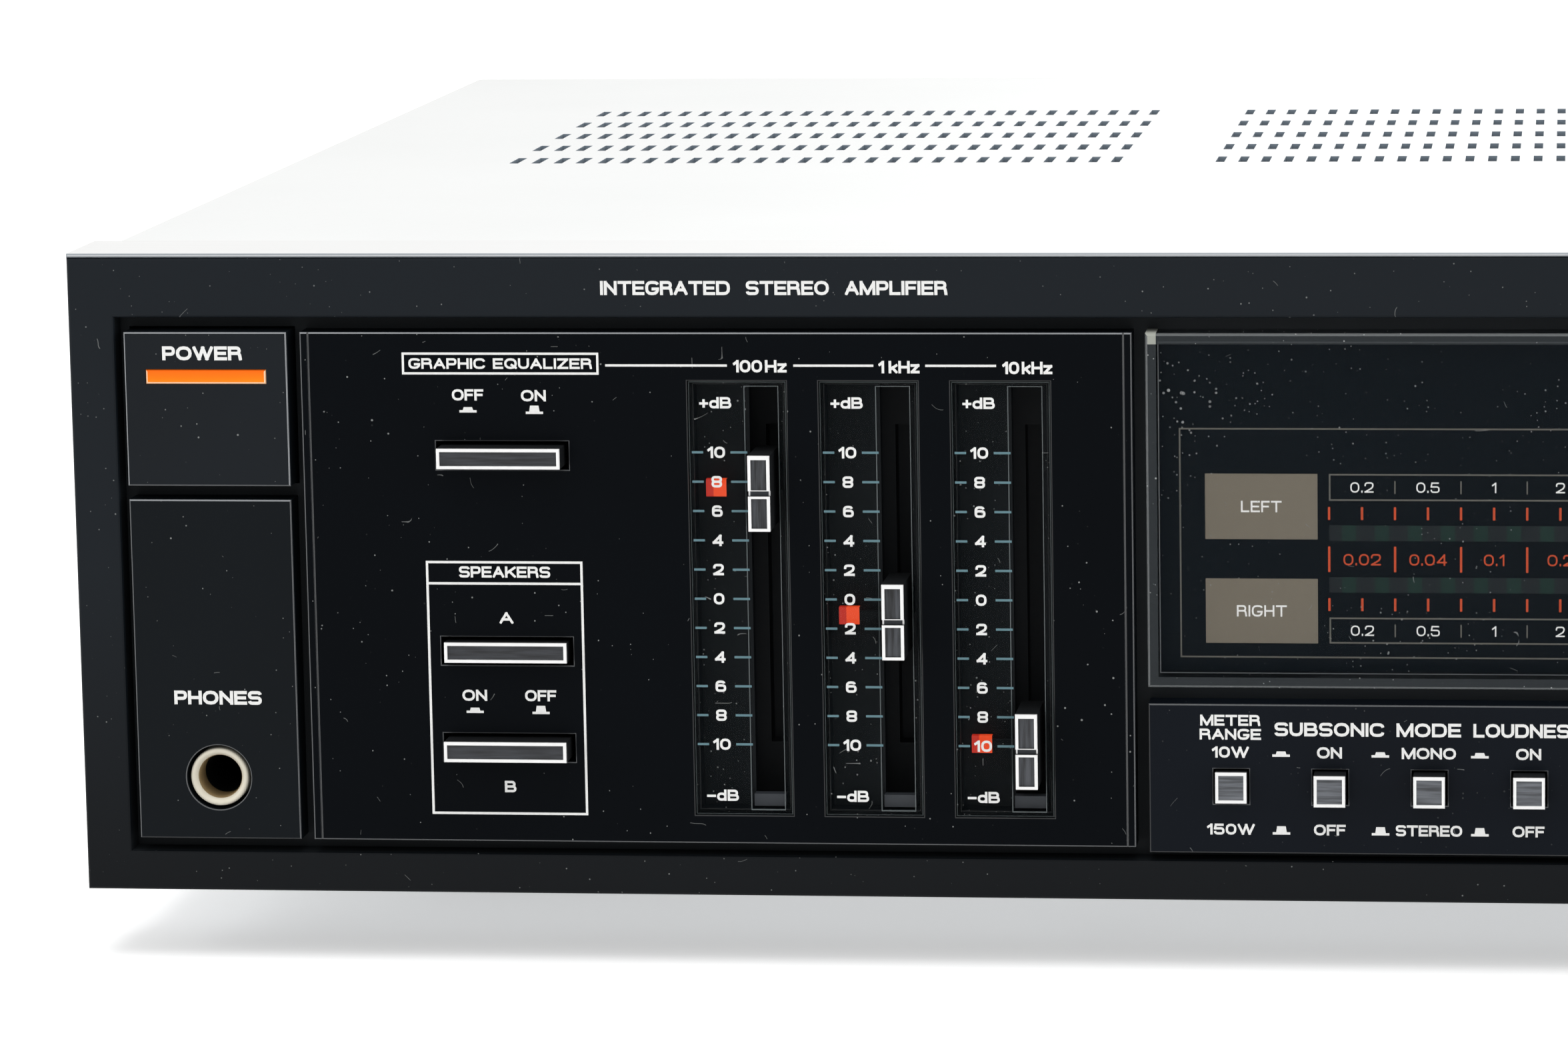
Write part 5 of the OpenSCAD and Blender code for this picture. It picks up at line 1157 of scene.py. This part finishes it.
class AMPLIFIER_OT_legends(bpy.types.Operator):
    """Prints the words, lines and signs of the front"""
    bl_idname = "amplifier.legends"
    bl_label = "Front Legends"

    def execute(self, context):
        self.heading()
        self.equaliser_panel()
        self.slider_scales()
        self.button_strip()
        self.volume_panel()
        return {"FINISHED"}

    def heading(self):
        """The heading on the moulding and the word over the headphone jack."""
        bm = bmesh.new()
        lettering(bm, "INTEGRATED  STEREO  AMPLIFIER", on_front(-113.5, 102.85, MOULDING_PRINT), 2.1,
                  51.7)
        lettering(bm, "PHONES", on_front(-198.8, 40.85, PANEL_PRINT), 2.1, 13.4, weight=0.23)
        make_piece(bm, "heading_print", "chassis", ["screen_ink_white"])

    def equaliser_panel(self):
        """The equaliser's title and bands, and the speaker switches' frame."""
        bm = bmesh.new()
        y = PANEL_PRINT
        line = 0.34
        printed_frame(bm, -169.3, -139.7, 90.0, 93.3, line, y)
        for x0, x1 in ((-138.7, -120.5), (-110.6, -98.7), (-91.0, -80.5)):
            printed_bar(bm, (x0 + x1) / 2, 91.4, x1 - x0, line, y)
        box_line = 0.36
        printed_frame(bm, -166.5, -142.8, 23.3, 61.9, box_line, y)
        printed_bar(bm, -154.65, 58.5, 23.0, box_line, y)
        # Each word with its middle across and up, its height and its width
        for words, x, z, tall, wide in (
                ("GRAPHIC EQUALIZER", -154.5, 91.65, 1.6, 27.6), ("100_Hz", -115.6, 91.3, 1.85, 8.0),
                ("1__kHz", -94.9, 91.2, 1.85, 6.1), ("10_kHz", -75.9, 91.1, 1.85, 7.4),
                ("OFF", -159.5, 86.95, 1.7, 4.75), ("ON", -149.6, 86.85, 1.7, 3.75),
                ("SPEAKERS", -154.6, 60.25, 1.7, 13.8), ("A", -154.5, 53.3, 1.75, 2.1),
                ("B", -154.5, 27.6, 1.75, 1.75), ("ON", -159.6, 41.5, 1.7, 3.75),
                ("OFF", -149.6, 41.5, 1.7, 4.75)):
            lettering(bm, words, on_front(x, z, y), tall, wide)
        for x, z, tall in ((-159.5, 84.3, False), (-149.5, 84.1, True), (-159.6, 38.8, False),
                           (-149.6, 38.7, True)):
            push_icon(bm, x, z, tall, y)
        make_piece(bm, "equaliser_print", "chassis", ["screen_ink_white"])

    def slider_scales(self):
        """Numbers and ticks of the three slider scales, on the face of the inserts."""
        bm = bmesh.new()
        y = INSERT_PRINT
        tick = 0.34
        numbers = ("10", "8", "6", "4", "2", "0", "2", "4", "6", "8", "10")
        for column in range(3):
            x = -122.4 + SLIDER_STEP * column
            lettering(bm, "+dB", on_front(x, 85.8, y), 1.7, 4.8)
            lettering(bm, "−dB", on_front(x, 26.5, y), 1.7, 4.8)
            for row, number in enumerate(numbers):
                z = 56.32 + (5 - row) * DECIBEL_STEP
                lettering(bm, number, on_front(x, z, y), 1.72, 2.65 if len(number) == 2 else 1.6)
                printed_bar(bm, x - 2.8, z, 1.7, tick, y, 1)
                printed_bar(bm, x + 3.4, z, 2.5, tick, y, 1)
        make_piece(bm, "scale_legends", "chassis", ["screen_ink_white", "screen_ink_tick"])

    def button_strip(self):
        """Labels of the square buttons and of the balance slider."""
        bm = bmesh.new()
        y = STRIP_PRINT
        columns = ((("METER", "RANGE"), "10W", "150W"), (("SUBSONIC",), "ON", "OFF"),
                   (("MODE",), "MONO", "STEREO"), (("LOUDNESS",), "ON", "OFF"),
                   (("TAPE 1",), "ON", "OFF"), (("TAPE 2",), "ON", "OFF"))
        widths = {"METER": 8.9, "RANGE": 9.1, "SUBSONIC": 16.2, "MODE": 9.5, "LOUDNESS": 16.2,
                  "TAPE 1": 10.6, "TAPE 2": 11.4, "10W": 5.5, "150W": 7.1, "ON": 3.7, "OFF": 4.7,
                  "MONO": 8.0, "STEREO": 9.8}
        for i, (title, pressed, out) in enumerate(columns):
            x = -46.4 + BUTTON_STEP * i
            lines = ((38.5, 1.65), (36.4, 1.65)) if len(title) == 2 else ((37.2, 2.05),)
            for words, (z, tall) in zip(title, lines):
                lettering(bm, words, on_front(x, z, y), tall, widths[words])
            lettering(bm, pressed, on_front(x, 33.7, y), 1.7, widths[pressed])
            lettering(bm, out, on_front(x, 22.05, y), 1.65, widths[out])
            if i < 5:
                push_icon(bm, x + 7.5, 33.05, False, y)
                push_icon(bm, x + 7.5, 21.3, True, y)
        lettering(bm, "BALANCE", on_front(55.0, 37.2, y), 2.05, 14.6)
        lettering(bm, "L", on_front(42.6, 22.15, y), 1.65)
        lettering(bm, "R", on_front(67.4, 22.15, y), 1.65)
        for i in range(7):
            printed_bar(bm, 46.0 + 3.0 * i, 22.15, 0.34, 1.6 if i in (0, 3, 6) else 0.9, y)
        make_piece(bm, "strip_print", "chassis", ["screen_ink_white"])

    def volume_panel(self):
        """Dial numbers of the volume knob and places of the selector."""
        bm = bmesh.new()
        x, _, z = (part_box("volume_knob")[0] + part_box("volume_knob")[1]) / 2 / MM
        lettering(bm, "VOLUME", on_front(x - 23.5, 91.6, PANEL_PRINT), 2.1, 13.6)
        self.dial(bm, x, z, [str(i) for i in range(11)], -150, 30, 1.9, (31.4, 31.4), (27.6, 0.4, 2.2))
        x = (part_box("selector_knob")[0].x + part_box("selector_knob")[1].x) / 2 / MM
        lettering(bm, "INPUT", on_front(x, 91.6, PANEL_PRINT), 2.1, 10.4)
        self.dial(bm, x, z, ("PHONO", "TUNER", "AUX", "TAPE"), -60, 40, 1.5, (22.5, 18.5), (13.4, 0.36, 1.8))
        make_piece(bm, "volume_print", "chassis", ["screen_ink_white"])

    def dial(self, bm, x, z, words, start, step, height, reach, tick):
        """Words round a knob from a start angle on; a tick is its distance, width and length."""
        centre = on_front(x, z, PANEL_PRINT)
        away, width, length = tick
        for i, word in enumerate(words):
            angle = math.radians(start + step * i)
            way = Vector((math.sin(angle) * reach[0], 0.0, math.cos(angle) * reach[1]))
            lettering(bm, word, centre + way * MM, height)
            before = len(bm.verts)
            printed_bar(bm, x, z + away, width, length, PANEL_PRINT)
            bm.verts.ensure_lookup_table()
            bmesh.ops.rotate(bm, cent=centre, matrix=Matrix.Rotation(angle, 3, "Y"), verts=bm.verts[before:])


def knurl(bm, faces, centre, low, high, depth):
    """Pulls every second line of a turned barrel in, so that it gets grip ribs."""
    verts = {v for f in faces for v in f.verts if low < v.co.y < high}
    angle = {v: round(math.atan2(v.co.x - centre.x, v.co.z - centre.z), 4) for v in verts}
    every_second = set(sorted(set(angle.values()))[::2])
    inward = [v for v in verts if angle[v] in every_second]
    radius = max(Vector((v.co.x - centre.x, v.co.z - centre.z)).length for v in verts)
    factor = 1 - depth / radius
    bmesh.ops.scale(bm, vec=(factor, 1.0, factor), verts=inward, space=Matrix.Translation(-centre))


class AMPLIFIER_OT_knobs(bpy.types.Operator):
    """Makes the volume and selector knobs with ribs, turned faces and pointers"""
    bl_idname = "amplifier.knobs"
    bl_label = "Knobs"

    def execute(self, context):
        size = context.scene.amplifier_sizes
        self.make_knob("volume_knob", -1.2, 25.0, 21.0, 4.0, 1.2, size.ribs)
        self.make_knob("selector_knob", -1.2, 11.0, 15.0, 3.0, 0.8, size.ribs // 2)
        paint_node("volume_shaft", "turned_steel")
        return {"FINISHED"}

    def make_knob(self, node, back, radius, top, skirt, edge, ribs):
        """A skirt, a ribbed barrel, a bright chamfer and a dished face with a pointer."""
        low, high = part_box(node)
        centre = Vector(((low.x + high.x) / 2, FACE_Y + back * MM, (low.z + high.z) / 2))
        barrel = radius - edge
        profile = [(0.0, 0.0), (radius - 0.3, 0.0), (radius, -0.3), (radius, -skirt + 0.3),
                   (radius - 0.3, -skirt), (barrel, -skirt - edge), (barrel, -skirt - edge - 0.4),
                   (barrel, -top + edge + 0.4), (barrel, -top + edge), (barrel - 0.9 * edge, -top + 0.05),
                   (barrel - edge, -top), (barrel - edge - 0.6, -top), (barrel - edge - 1.0, -top + 0.4),
                   (0.0, -top + 0.5)]
        bm = bmesh.new()
        faces = spun(bm, profile, centre, steps=2 * ribs)
        knurl(bm, faces, centre, centre.y + (-top + edge + 0.2) * MM, centre.y + (-skirt - edge - 0.2) * MM,
              0.3 * MM)
        for f in bm.faces:
            middle = f.calc_center_median()
            ring = Vector((middle.x - centre.x, middle.z - centre.z)).length
            if middle.y < centre.y + (-top + edge) * MM and ring > (barrel - edge - 0.2) * MM:
                f.material_index = 1
        far = barrel - edge - 1.6
        near = radius * 0.5
        block(bm, centre + Vector((-0.7, -top, near)) * MM, centre + Vector((0.7, -top + 0.9, far)) * MM, 2)
        if node == "selector_knob":
            shaft = (high.y - centre.y) / MM
            spun(bm, [(0.0, 0.0), (3.0, 0.0), (3.0, shaft - 0.4), (2.6, shaft), (0.0, shaft)],
                 centre + Vector((0.0, 0.0001, 0.0)), steps=32, material=1)
        # Turned and anodised aluminium, its rings centred on this knob: a fan of light on the face
        skin = "turned_aluminium_" + node
        if skin not in bpy.data.materials:
            turned(skin, bpy.context.scene.amplifier_colours.aluminium, centre)
        stand_in(bm, node, [skin, "turned_steel", "moulded_abs_plain"], smooth=35)


class AMPLIFIER_OT_jack(bpy.types.Operator):
    """Makes the ivory headphone jack"""
    bl_idname = "amplifier.jack"
    bl_label = "Headphone Jack"

    def execute(self, context):
        low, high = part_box("phones_jack")
        centre = Vector(((low.x + high.x) / 2, low.y, (low.z + high.z) / 2))
        body = high.y - 30 * MM
        length = (body - low.y) / MM
        bm = bmesh.new()
        nose = [(0.0, length + 0.5), (4.45, length + 0.5), (4.45, 0.42), (4.38, 0.2), (4.22, 0.05),
                (4.0, 0.0), (3.8, 0.06), (3.6, 0.26), (3.35, 0.62), (3.22, 1.0), (3.2, 1.4), (3.2, 4.4),
                (3.2, 4.6), (3.2, length), (0.0, length)]
        faces = spun(bm, nose, centre, steps=64)
        # The bore is painted shade: brown near the mouth, then black deeper in
        for f in faces:
            middle = f.calc_center_median()
            bore = Vector((middle.x - centre.x, middle.z - centre.z)).length < 3.3 * MM
            if bore:
                f.material_index = 1 if low.y + 4.5 * MM < middle.y else 2
        verts = block(bm, (low.x, body, low.z), high, 1)
        round_edges(bm, list({e for v in verts for e in v.link_edges}), 0.5 * MM)
        stand_in(bm, "phones_jack", ["moulded_nylon_ivory", "moulded_abs_plain", "moulded_nylon_bore_painted_shade"],
                 smooth=35)
        return {"FINISHED"}


class AMPLIFIER_OT_cover(bpy.types.Operator):
    """Makes the pale sheet cover with its vent slots and side bends"""
    bl_idname = "amplifier.cover"
    bl_label = "Cover"

    def execute(self, context):
        size = context.scene.amplifier_sizes
        low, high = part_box("top_cover")
        columns = []
        for middle, count in VENT_BLOCKS:
            columns += [middle + (i - count / 2) * VENT_STEP for i in range(count + 1)]
        xs = [low.x / MM + size.bend / MM] + columns + [high.x / MM - size.bend / MM]
        rows = [VENT_FIRST_ROW + (j - 0.5) * VENT_ROW_STEP for j in range(VENT_ROWS + 1)]
        ys = [low.y / MM] + rows + [high.y / MM]
        bm = bmesh.new()
        bmesh.ops.create_grid(bm, x_segments=len(xs) - 1, y_segments=len(ys) - 1, size=1.0)
        for v in bm.verts:
            i = round((v.co.x + 1) / 2 * (len(xs) - 1))
            j = round((v.co.y + 1) / 2 * (len(ys) - 1))
            v.co = Vector((xs[i] * MM, ys[j] * MM, high.z))
        cells = [f for f in bm.faces if self.is_vent(f)]
        bmesh.ops.inset_individual(bm, faces=cells, thickness=0.4 * MM, use_even_offset=True)
        for f in cells:
            span = Vector((max(v.co[k] for v in f.verts) - min(v.co[k] for v in f.verts) for k in (0, 1)))
            bmesh.ops.scale(bm, vec=(VENT_WIDTH * MM / span.x, VENT_LENGTH * MM / span.y, 1.0),
                            verts=f.verts, space=Matrix.Translation(-f.calc_center_median()))
        bmesh.ops.delete(bm, geom=cells, context="FACES_ONLY")
        for side, edge_x in ((-1, xs[0] * MM), (1, xs[-1] * MM)):
            self.bend_side(bm, side, edge_x, low.z, high.z, size.bend)
        bmesh.ops.remove_doubles(bm, verts=bm.verts, dist=WELD)
        bmesh.ops.recalc_face_normals(bm, faces=bm.faces)
        upright = [f for f in bm.faces if f.calc_center_median().z > high.z - TINY]
        if upright[0].normal.z < 0:
            bmesh.ops.reverse_faces(bm, faces=bm.faces)
        bmesh.ops.solidify(bm, geom=bm.faces[:], thickness=1.0 * MM)
        # The walls of the slots get the bare steel finish, which also paints shade into them
        border = 9 * MM
        for f in bm.faces:
            x, y, _ = f.calc_center_median()
            inside = low.x + border < x < high.x - border and low.y + border < y < high.y - border
            if inside and abs(f.normal.z) < 0.5:
                f.material_index = 1
        stand_in(bm, "top_cover", ["baked_enamel_pale", "punched_steel_edge_and_shade"], smooth=30)
        return {"FINISHED"}

    def bend_side(self, bm, side, edge_x, foot, top, radius):
        """Bends one side of the sheet down and draws it out to its foot."""
        border = [e for e in bm.edges if all(abs(v.co.x - edge_x) < WELD for v in e.verts)]
        verts = list({v for e in border for v in e.verts})
        bent = bmesh.ops.spin(bm, geom=verts + border, cent=(edge_x, 0.0, top - radius),
                              axis=(0.0, 1.0, 0.0), angle=side * math.pi / 2, steps=6, use_duplicate=False)
        skirt = bmesh.ops.extrude_edge_only(bm, edges=only(bent["geom_last"], bmesh.types.BMEdge))
        bmesh.ops.translate(bm, vec=(0.0, 0.0, foot - top + radius),
                            verts=only(skirt["geom"], bmesh.types.BMVert))

    def is_vent(self, face):
        """A cell of the grid that holds a slot."""
        row = (face.calc_center_median().y / MM - VENT_FIRST_ROW) / VENT_ROW_STEP
        wide = max(v.co.x for v in face.verts) - min(v.co.x for v in face.verts)
        return -0.5 < row < VENT_ROWS - 0.5 and abs(wide / MM - VENT_STEP) < 0.01


class AMPLIFIER_OT_chassis(bpy.types.Operator):
    """Makes the feet and screws and finishes the chassis, rear panel and subframe"""
    bl_idname = "amplifier.chassis"
    bl_label = "Chassis"

    def execute(self, context):
        paint_node("chassis_base", "zinc_plated_steel")
        # The subframe is black as painted shade behind the slots
        paint_node("front_subframe", "steel_black_painted_shade")
        paint_node("rear_panel", "baked_enamel_black")
        self.make_feet()
        self.make_screws()
        return {"FINISHED"}

    def make_feet(self):
        """Rubber feet with a rolled lower edge, two rings and the screw's well."""
        low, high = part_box("feet")
        bm = bmesh.new()
        profile = [(3.2, 11.0), (17.2, 11.0), (18.0, 10.2), (18.0, 8.2), (17.3, 7.8), (17.3, 7.0),
                   (18.0, 6.6), (18.0, 1.6), (17.5, 0.5), (16.2, 0.0), (9.0, 0.0), (8.2, 0.5), (5.6, 0.5),
                   (5.0, 1.0), (5.0, 7.0), (3.2, 7.0), (3.2, 11.0)]
        radius = 18 * MM
        for x in (low.x + radius, high.x - radius):
            for y in (low.y + radius, high.y - radius):
                spun(bm, profile, Vector((x, y, 0.0)), axis=(0.0, 0.0, 1.0))
        stand_in(bm, "feet", ["moulded_rubber"], smooth=35)

    def make_screws(self):
        """Pan head screws with a crossed recess, one at each place of the CAD node."""
        source = merged_copy("case_screws")
        bm = bmesh.new()
        seen = set()
        for start in source.verts:
            if start in seen:
                continue
            group = self.joined(start)
            seen |= group
            self.make_screw(bm, group)
        source.free()
        stand_in(bm, "case_screws", ["black_oxide_steel"], smooth=35)

    def joined(self, start):
        """All the vertices that hang together with one."""
        group = {start}
        front = [start]
        while front:
            v = front.pop()
            for e in v.link_edges:
                other = e.other_vert(v)
                if other not in group:
                    group.add(other)
                    front.append(other)
        return group

    def make_screw(self, whole, group):
        """A screw in the place of a plain one: shank, head and recess."""
        bm = bmesh.new()
        low = Vector((min(v.co[k] for v in group) for k in range(3)))
        high = Vector((max(v.co[k] for v in group) for k in range(3)))
        # The screw lies along the axis on which it isn't as long as its head is wide
        head_wide = 6.0 * MM
        head_high = 1.4
        k = max(range(3), key=lambda i: abs(high[i] - low[i] - head_wide))
        middle = (low + high) / 2
        wide_low = max((v.co - middle).length for v in group if v.co[k] < low[k] + TINY)
        wide_high = max((v.co - middle).length for v in group if v.co[k] > high[k] - TINY)
        out = Vector((0.0, 0.0, 0.0))
        out[k] = -1.0 if wide_low > wide_high else 1.0
        seat = middle.copy()
        seat[k] = low[k] + head_high * MM if out[k] < 0 else high[k] - head_high * MM
        turn = Vector((0.0, 0.0, 1.0)).rotation_difference(out).to_matrix().to_4x4()
        # A grid with lines along the recess, drawn into a round and domed head
        lines = [-3.0, -1.5, -0.4, 0.4, 1.5, 3.0]
        made = bmesh.ops.create_grid(bm, x_segments=5, y_segments=5, size=1.0)
        for v in made["verts"]:
            spot = Vector((lines[round((v.co.x + 1) * 2.5)], lines[round((v.co.y + 1) * 2.5)]))
            if max(abs(spot.x), abs(spot.y)) > 2.9:
                spot = spot.normalized() * 3.0
            dome = head_high - 0.55 * (spot.length / 3.0) ** 2
            v.co = Vector((spot.x, spot.y, dome)) * MM
        faces = list({f for v in made["verts"] for f in v.link_faces})
        cross = [f for f in faces if self.in_cross(f.calc_center_median() / MM)]
        rim = {e for f in faces for e in f.edges if len(e.link_faces) == 1}
        skirt = bmesh.ops.extrude_edge_only(bm, edges=list(rim))["geom"]
        bmesh.ops.translate(bm, vec=(0.0, 0.0, -0.85 * MM), verts=only(skirt, bmesh.types.BMVert))
        ring = [e for e in only(skirt, bmesh.types.BMEdge) if all(v.co.z < 0.2 * MM for v in e.verts)]
        bmesh.ops.contextual_create(bm, geom=ring)
        sunk = bmesh.ops.extrude_face_region(bm, geom=cross)["geom"]
        deep = only(sunk, bmesh.types.BMVert)
        bmesh.ops.delete(bm, geom=cross, context="FACES_ONLY")
        bmesh.ops.translate(bm, vec=(0.0, 0.0, -0.8 * MM), verts=deep)
        length = (high[k] - low[k]) / MM - head_high
        spun(bm, [(0.0, 0.0), (1.5, 0.0), (1.5, -length + 0.5), (1.0, -length), (0.0, -length)],
             Vector((0.0, 0.0, 0.0)), steps=16, axis=(0.0, 0.0, 1.0))
        bmesh.ops.recalc_face_normals(bm, faces=bm.faces)
        bmesh.ops.transform(bm, matrix=Matrix.Translation(seat) @ turn, verts=bm.verts)
        join(whole, bm)

    def in_cross(self, middle):
        """Inside the crossed recess of a screw's head, in millimetres."""
        wide = max(abs(middle.x), abs(middle.y))
        return wide < 1.5 and min(abs(middle.x), abs(middle.y)) < 0.4


class AMPLIFIER_OT_rear_sockets(bpy.types.Operator):
    """Makes the phono sockets, speaker terminals, earth screw and cord entry, with their labels"""
    bl_idname = "amplifier.rear_sockets"
    bl_label = "Rear Sockets"

    def execute(self, context):
        self.make_phono()
        self.make_terminals()
        self.make_earth()
        stand_in(merged_copy("mains_gland"), "mains_gland", ["moulded_abs_plain"], smooth=35)
        self.print_labels()
        return {"FINISHED"}

    def make_phono(self):
        """Plated sleeves with a coloured insulator and a sprung contact in each."""
        bm = bmesh.new()
        sleeve = [(5.1, -1.0), (5.1, 0.0), (4.6, 0.2), (4.15, 0.2), (4.15, 9.7), (3.9, 10.0), (3.5, 10.0),
                  (3.4, 9.8), (3.4, 8.6)]
        insulator = [(3.4, 8.6), (3.3, 9.4), (2.1, 9.4), (1.9, 9.2), (1.9, 8.8)]
        contact = [(1.9, 8.8), (1.65, 8.8), (1.65, 1.0), (0.0, 1.0)]
        step = 16
        for column in range(5):
            for row in range(2):
                centre = Vector(((100 + step * column) * MM, REAR_Y, (55 + step * row) * MM))
                spun(bm, sleeve, centre, steps=40)
                spun(bm, insulator, centre, steps=40, material=1 + row)
                spun(bm, contact, centre, steps=32, material=3)
                block(bm, centre + Vector((-6.0, -13.2, -6.0)) * MM,
                      centre + Vector((6.0, -1.2, 6.0)) * MM, 4)
        stand_in(bm, "phono_sockets", ["nickel_plate", "moulded_abs_red", "moulded_abs_white",
                                       "gold_contact", "moulded_abs_plain"], smooth=35)

    def make_terminals(self):
        """The tray, the cells and the coloured levers."""
        bm = merged_copy("terminal_block")
        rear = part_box("terminal_block")[1].y - SKIN
        round_edges(bm, sharp_edges(bm, lambda e: all(v.co.y > rear for v in e.verts)), 0.3 * MM)
        stand_in(bm, "terminal_block", ["moulded_abs_plain"])
        stand_in(merged_copy("terminal_cells"), "terminal_cells", ["moulded_abs_plain"], smooth=35)
        for i in range(8):
            node = "speaker_lever_%d" % (i + 1)
            colour = "moulded_abs_red" if i % 2 == 0 else "moulded_abs_plain"
            stand_in(merged_copy(node), node, [colour], smooth=35)

    def make_earth(self):
        """A ribbed thumb screw on its shank."""
        low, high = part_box("earth_screw")
        centre = Vector(((low.x + high.x) / 2, high.y, (low.z + high.z) / 2))
        bm = bmesh.new()
        profile = [(0.0, 0.0), (4.4, 0.0), (5.0, -0.4), (5.3, -0.8), (5.5, -1.2), (5.5, -6.8), (5.3, -7.2),
                   (4.6, -8.0), (2.0, -8.0), (2.0, -17.2), (1.7, -17.5), (0.0, -17.5)]
        faces = spun(bm, profile, centre, steps=64)
        barrel = [f for f in faces if f.calc_center_median().y > centre.y - 7.5 * MM]
        knurl(bm, barrel, centre, centre.y - 7.0 * MM, centre.y - 1.0 * MM, 0.3 * MM)
        stand_in(bm, "earth_screw", ["turned_steel"], smooth=35)

    def print_labels(self):
        """Generic labels for the sockets."""
        bm = bmesh.new()
        y = REAR_Y + REAR_PRINT * MM
        # Each word with its middle across and up, and its height, in millimetres
        labels = [("L", 90.5, 71.0, 2.2), ("R", 90.5, 55.0, 2.2), ("GND", 193.0, 64.5, 2.0),
                  ("SPEAKERS", -25.0, 76.5, 2.4), ("B", 8.5, 39.0, 2.4), ("A", 8.5, 59.0, 2.4),
                  ("AC IN", -185.0, 52.5, 2.0)]
        for i, words in enumerate(("PHONO", "TUNER", "AUX", "TAPE 1", "TAPE 2")):
            labels.append((words, 100.0 + 16.0 * i, 81.5, 1.7))
        for words, x, z, tall in labels:
            lettering(bm, words, (x * MM, y, z * MM), tall, turn=REAR)
        for i in range(4):
            sign, tall = ("+", 1.6) if i % 2 == 0 else ("−", 0.35)
            lettering(bm, sign, ((-46.0 + 14.0 * i) * MM, y, 73.5 * MM), tall, 1.6, turn=REAR)
        make_piece(bm, "rear_print", "chassis", ["screen_ink_white"])


class AMPLIFIER_OT_inside(bpy.types.Operator):
    """Finishes what can be seen through the vents"""
    bl_idname = "amplifier.inside"
    bl_label = "Inside"

    def execute(self, context):
        # The slide pots are black as painted shade behind the slots
        for node, name in (("transformer_core", "laminated_iron"), ("transformer_coil", "copper_winding"),
                           ("heat_sink", "black_anodised_aluminium"), ("power_modules", "moulded_epoxy"),
                           ("main_board", "paper_laminate"), ("filter_capacitors", "shrink_sleeve_blue"),
                           ("control_board", "paper_laminate"), ("slide_pots", "steel_black_painted_shade"),
                           ("push_switches", "moulded_nylon_grey"), ("meter_board", "paper_laminate"),
                           ("rotary_pots", "turned_steel")):
            paint_node(node, name)
        return {"FINISHED"}


OPERATORS = (AMPLIFIER_OT_stage, AMPLIFIER_OT_front_moulding, AMPLIFIER_OT_front_panels,
             AMPLIFIER_OT_power_button, AMPLIFIER_OT_push_buttons, AMPLIFIER_OT_equaliser,
             AMPLIFIER_OT_meter, AMPLIFIER_OT_legends, AMPLIFIER_OT_knobs, AMPLIFIER_OT_jack,
             AMPLIFIER_OT_cover, AMPLIFIER_OT_chassis, AMPLIFIER_OT_rear_sockets, AMPLIFIER_OT_inside)


class AMPLIFIER_PT_panel(bpy.types.Panel):
    """Lists the steps and the values that they use"""
    bl_idname = "AMPLIFIER_PT_panel"
    bl_label = "Amplifier"
    bl_space_type = "VIEW_3D"
    bl_region_type = "UI"
    bl_category = "Amplifier"

    def draw(self, context):
        scene = context.scene
        for group in (scene.amplifier_sizes, scene.amplifier_colours, scene.amplifier_stage):
            box = self.layout.box()
            for name in group.__annotations__:
                box.prop(group, name)
        for operator in OPERATORS:
            self.layout.operator(operator.bl_idname)


CLASSES = (AmplifierSizes, AmplifierColours, AmplifierStage, *OPERATORS, AMPLIFIER_PT_panel)


def register():
    for cls in CLASSES:
        bpy.utils.register_class(cls)
    bpy.types.Scene.amplifier_sizes = PointerProperty(type=AmplifierSizes)
    bpy.types.Scene.amplifier_colours = PointerProperty(type=AmplifierColours)
    bpy.types.Scene.amplifier_stage = PointerProperty(type=AmplifierStage)


def unregister():
    del bpy.types.Scene.amplifier_stage
    del bpy.types.Scene.amplifier_colours
    del bpy.types.Scene.amplifier_sizes
    for cls in reversed(CLASSES):
        bpy.utils.unregister_class(cls)


def main():
    register()
    for operator in OPERATORS:
        group, name = operator.bl_idname.split(".")
        getattr(getattr(bpy.ops, group), name)()


if __name__ == "__main__":
    main()
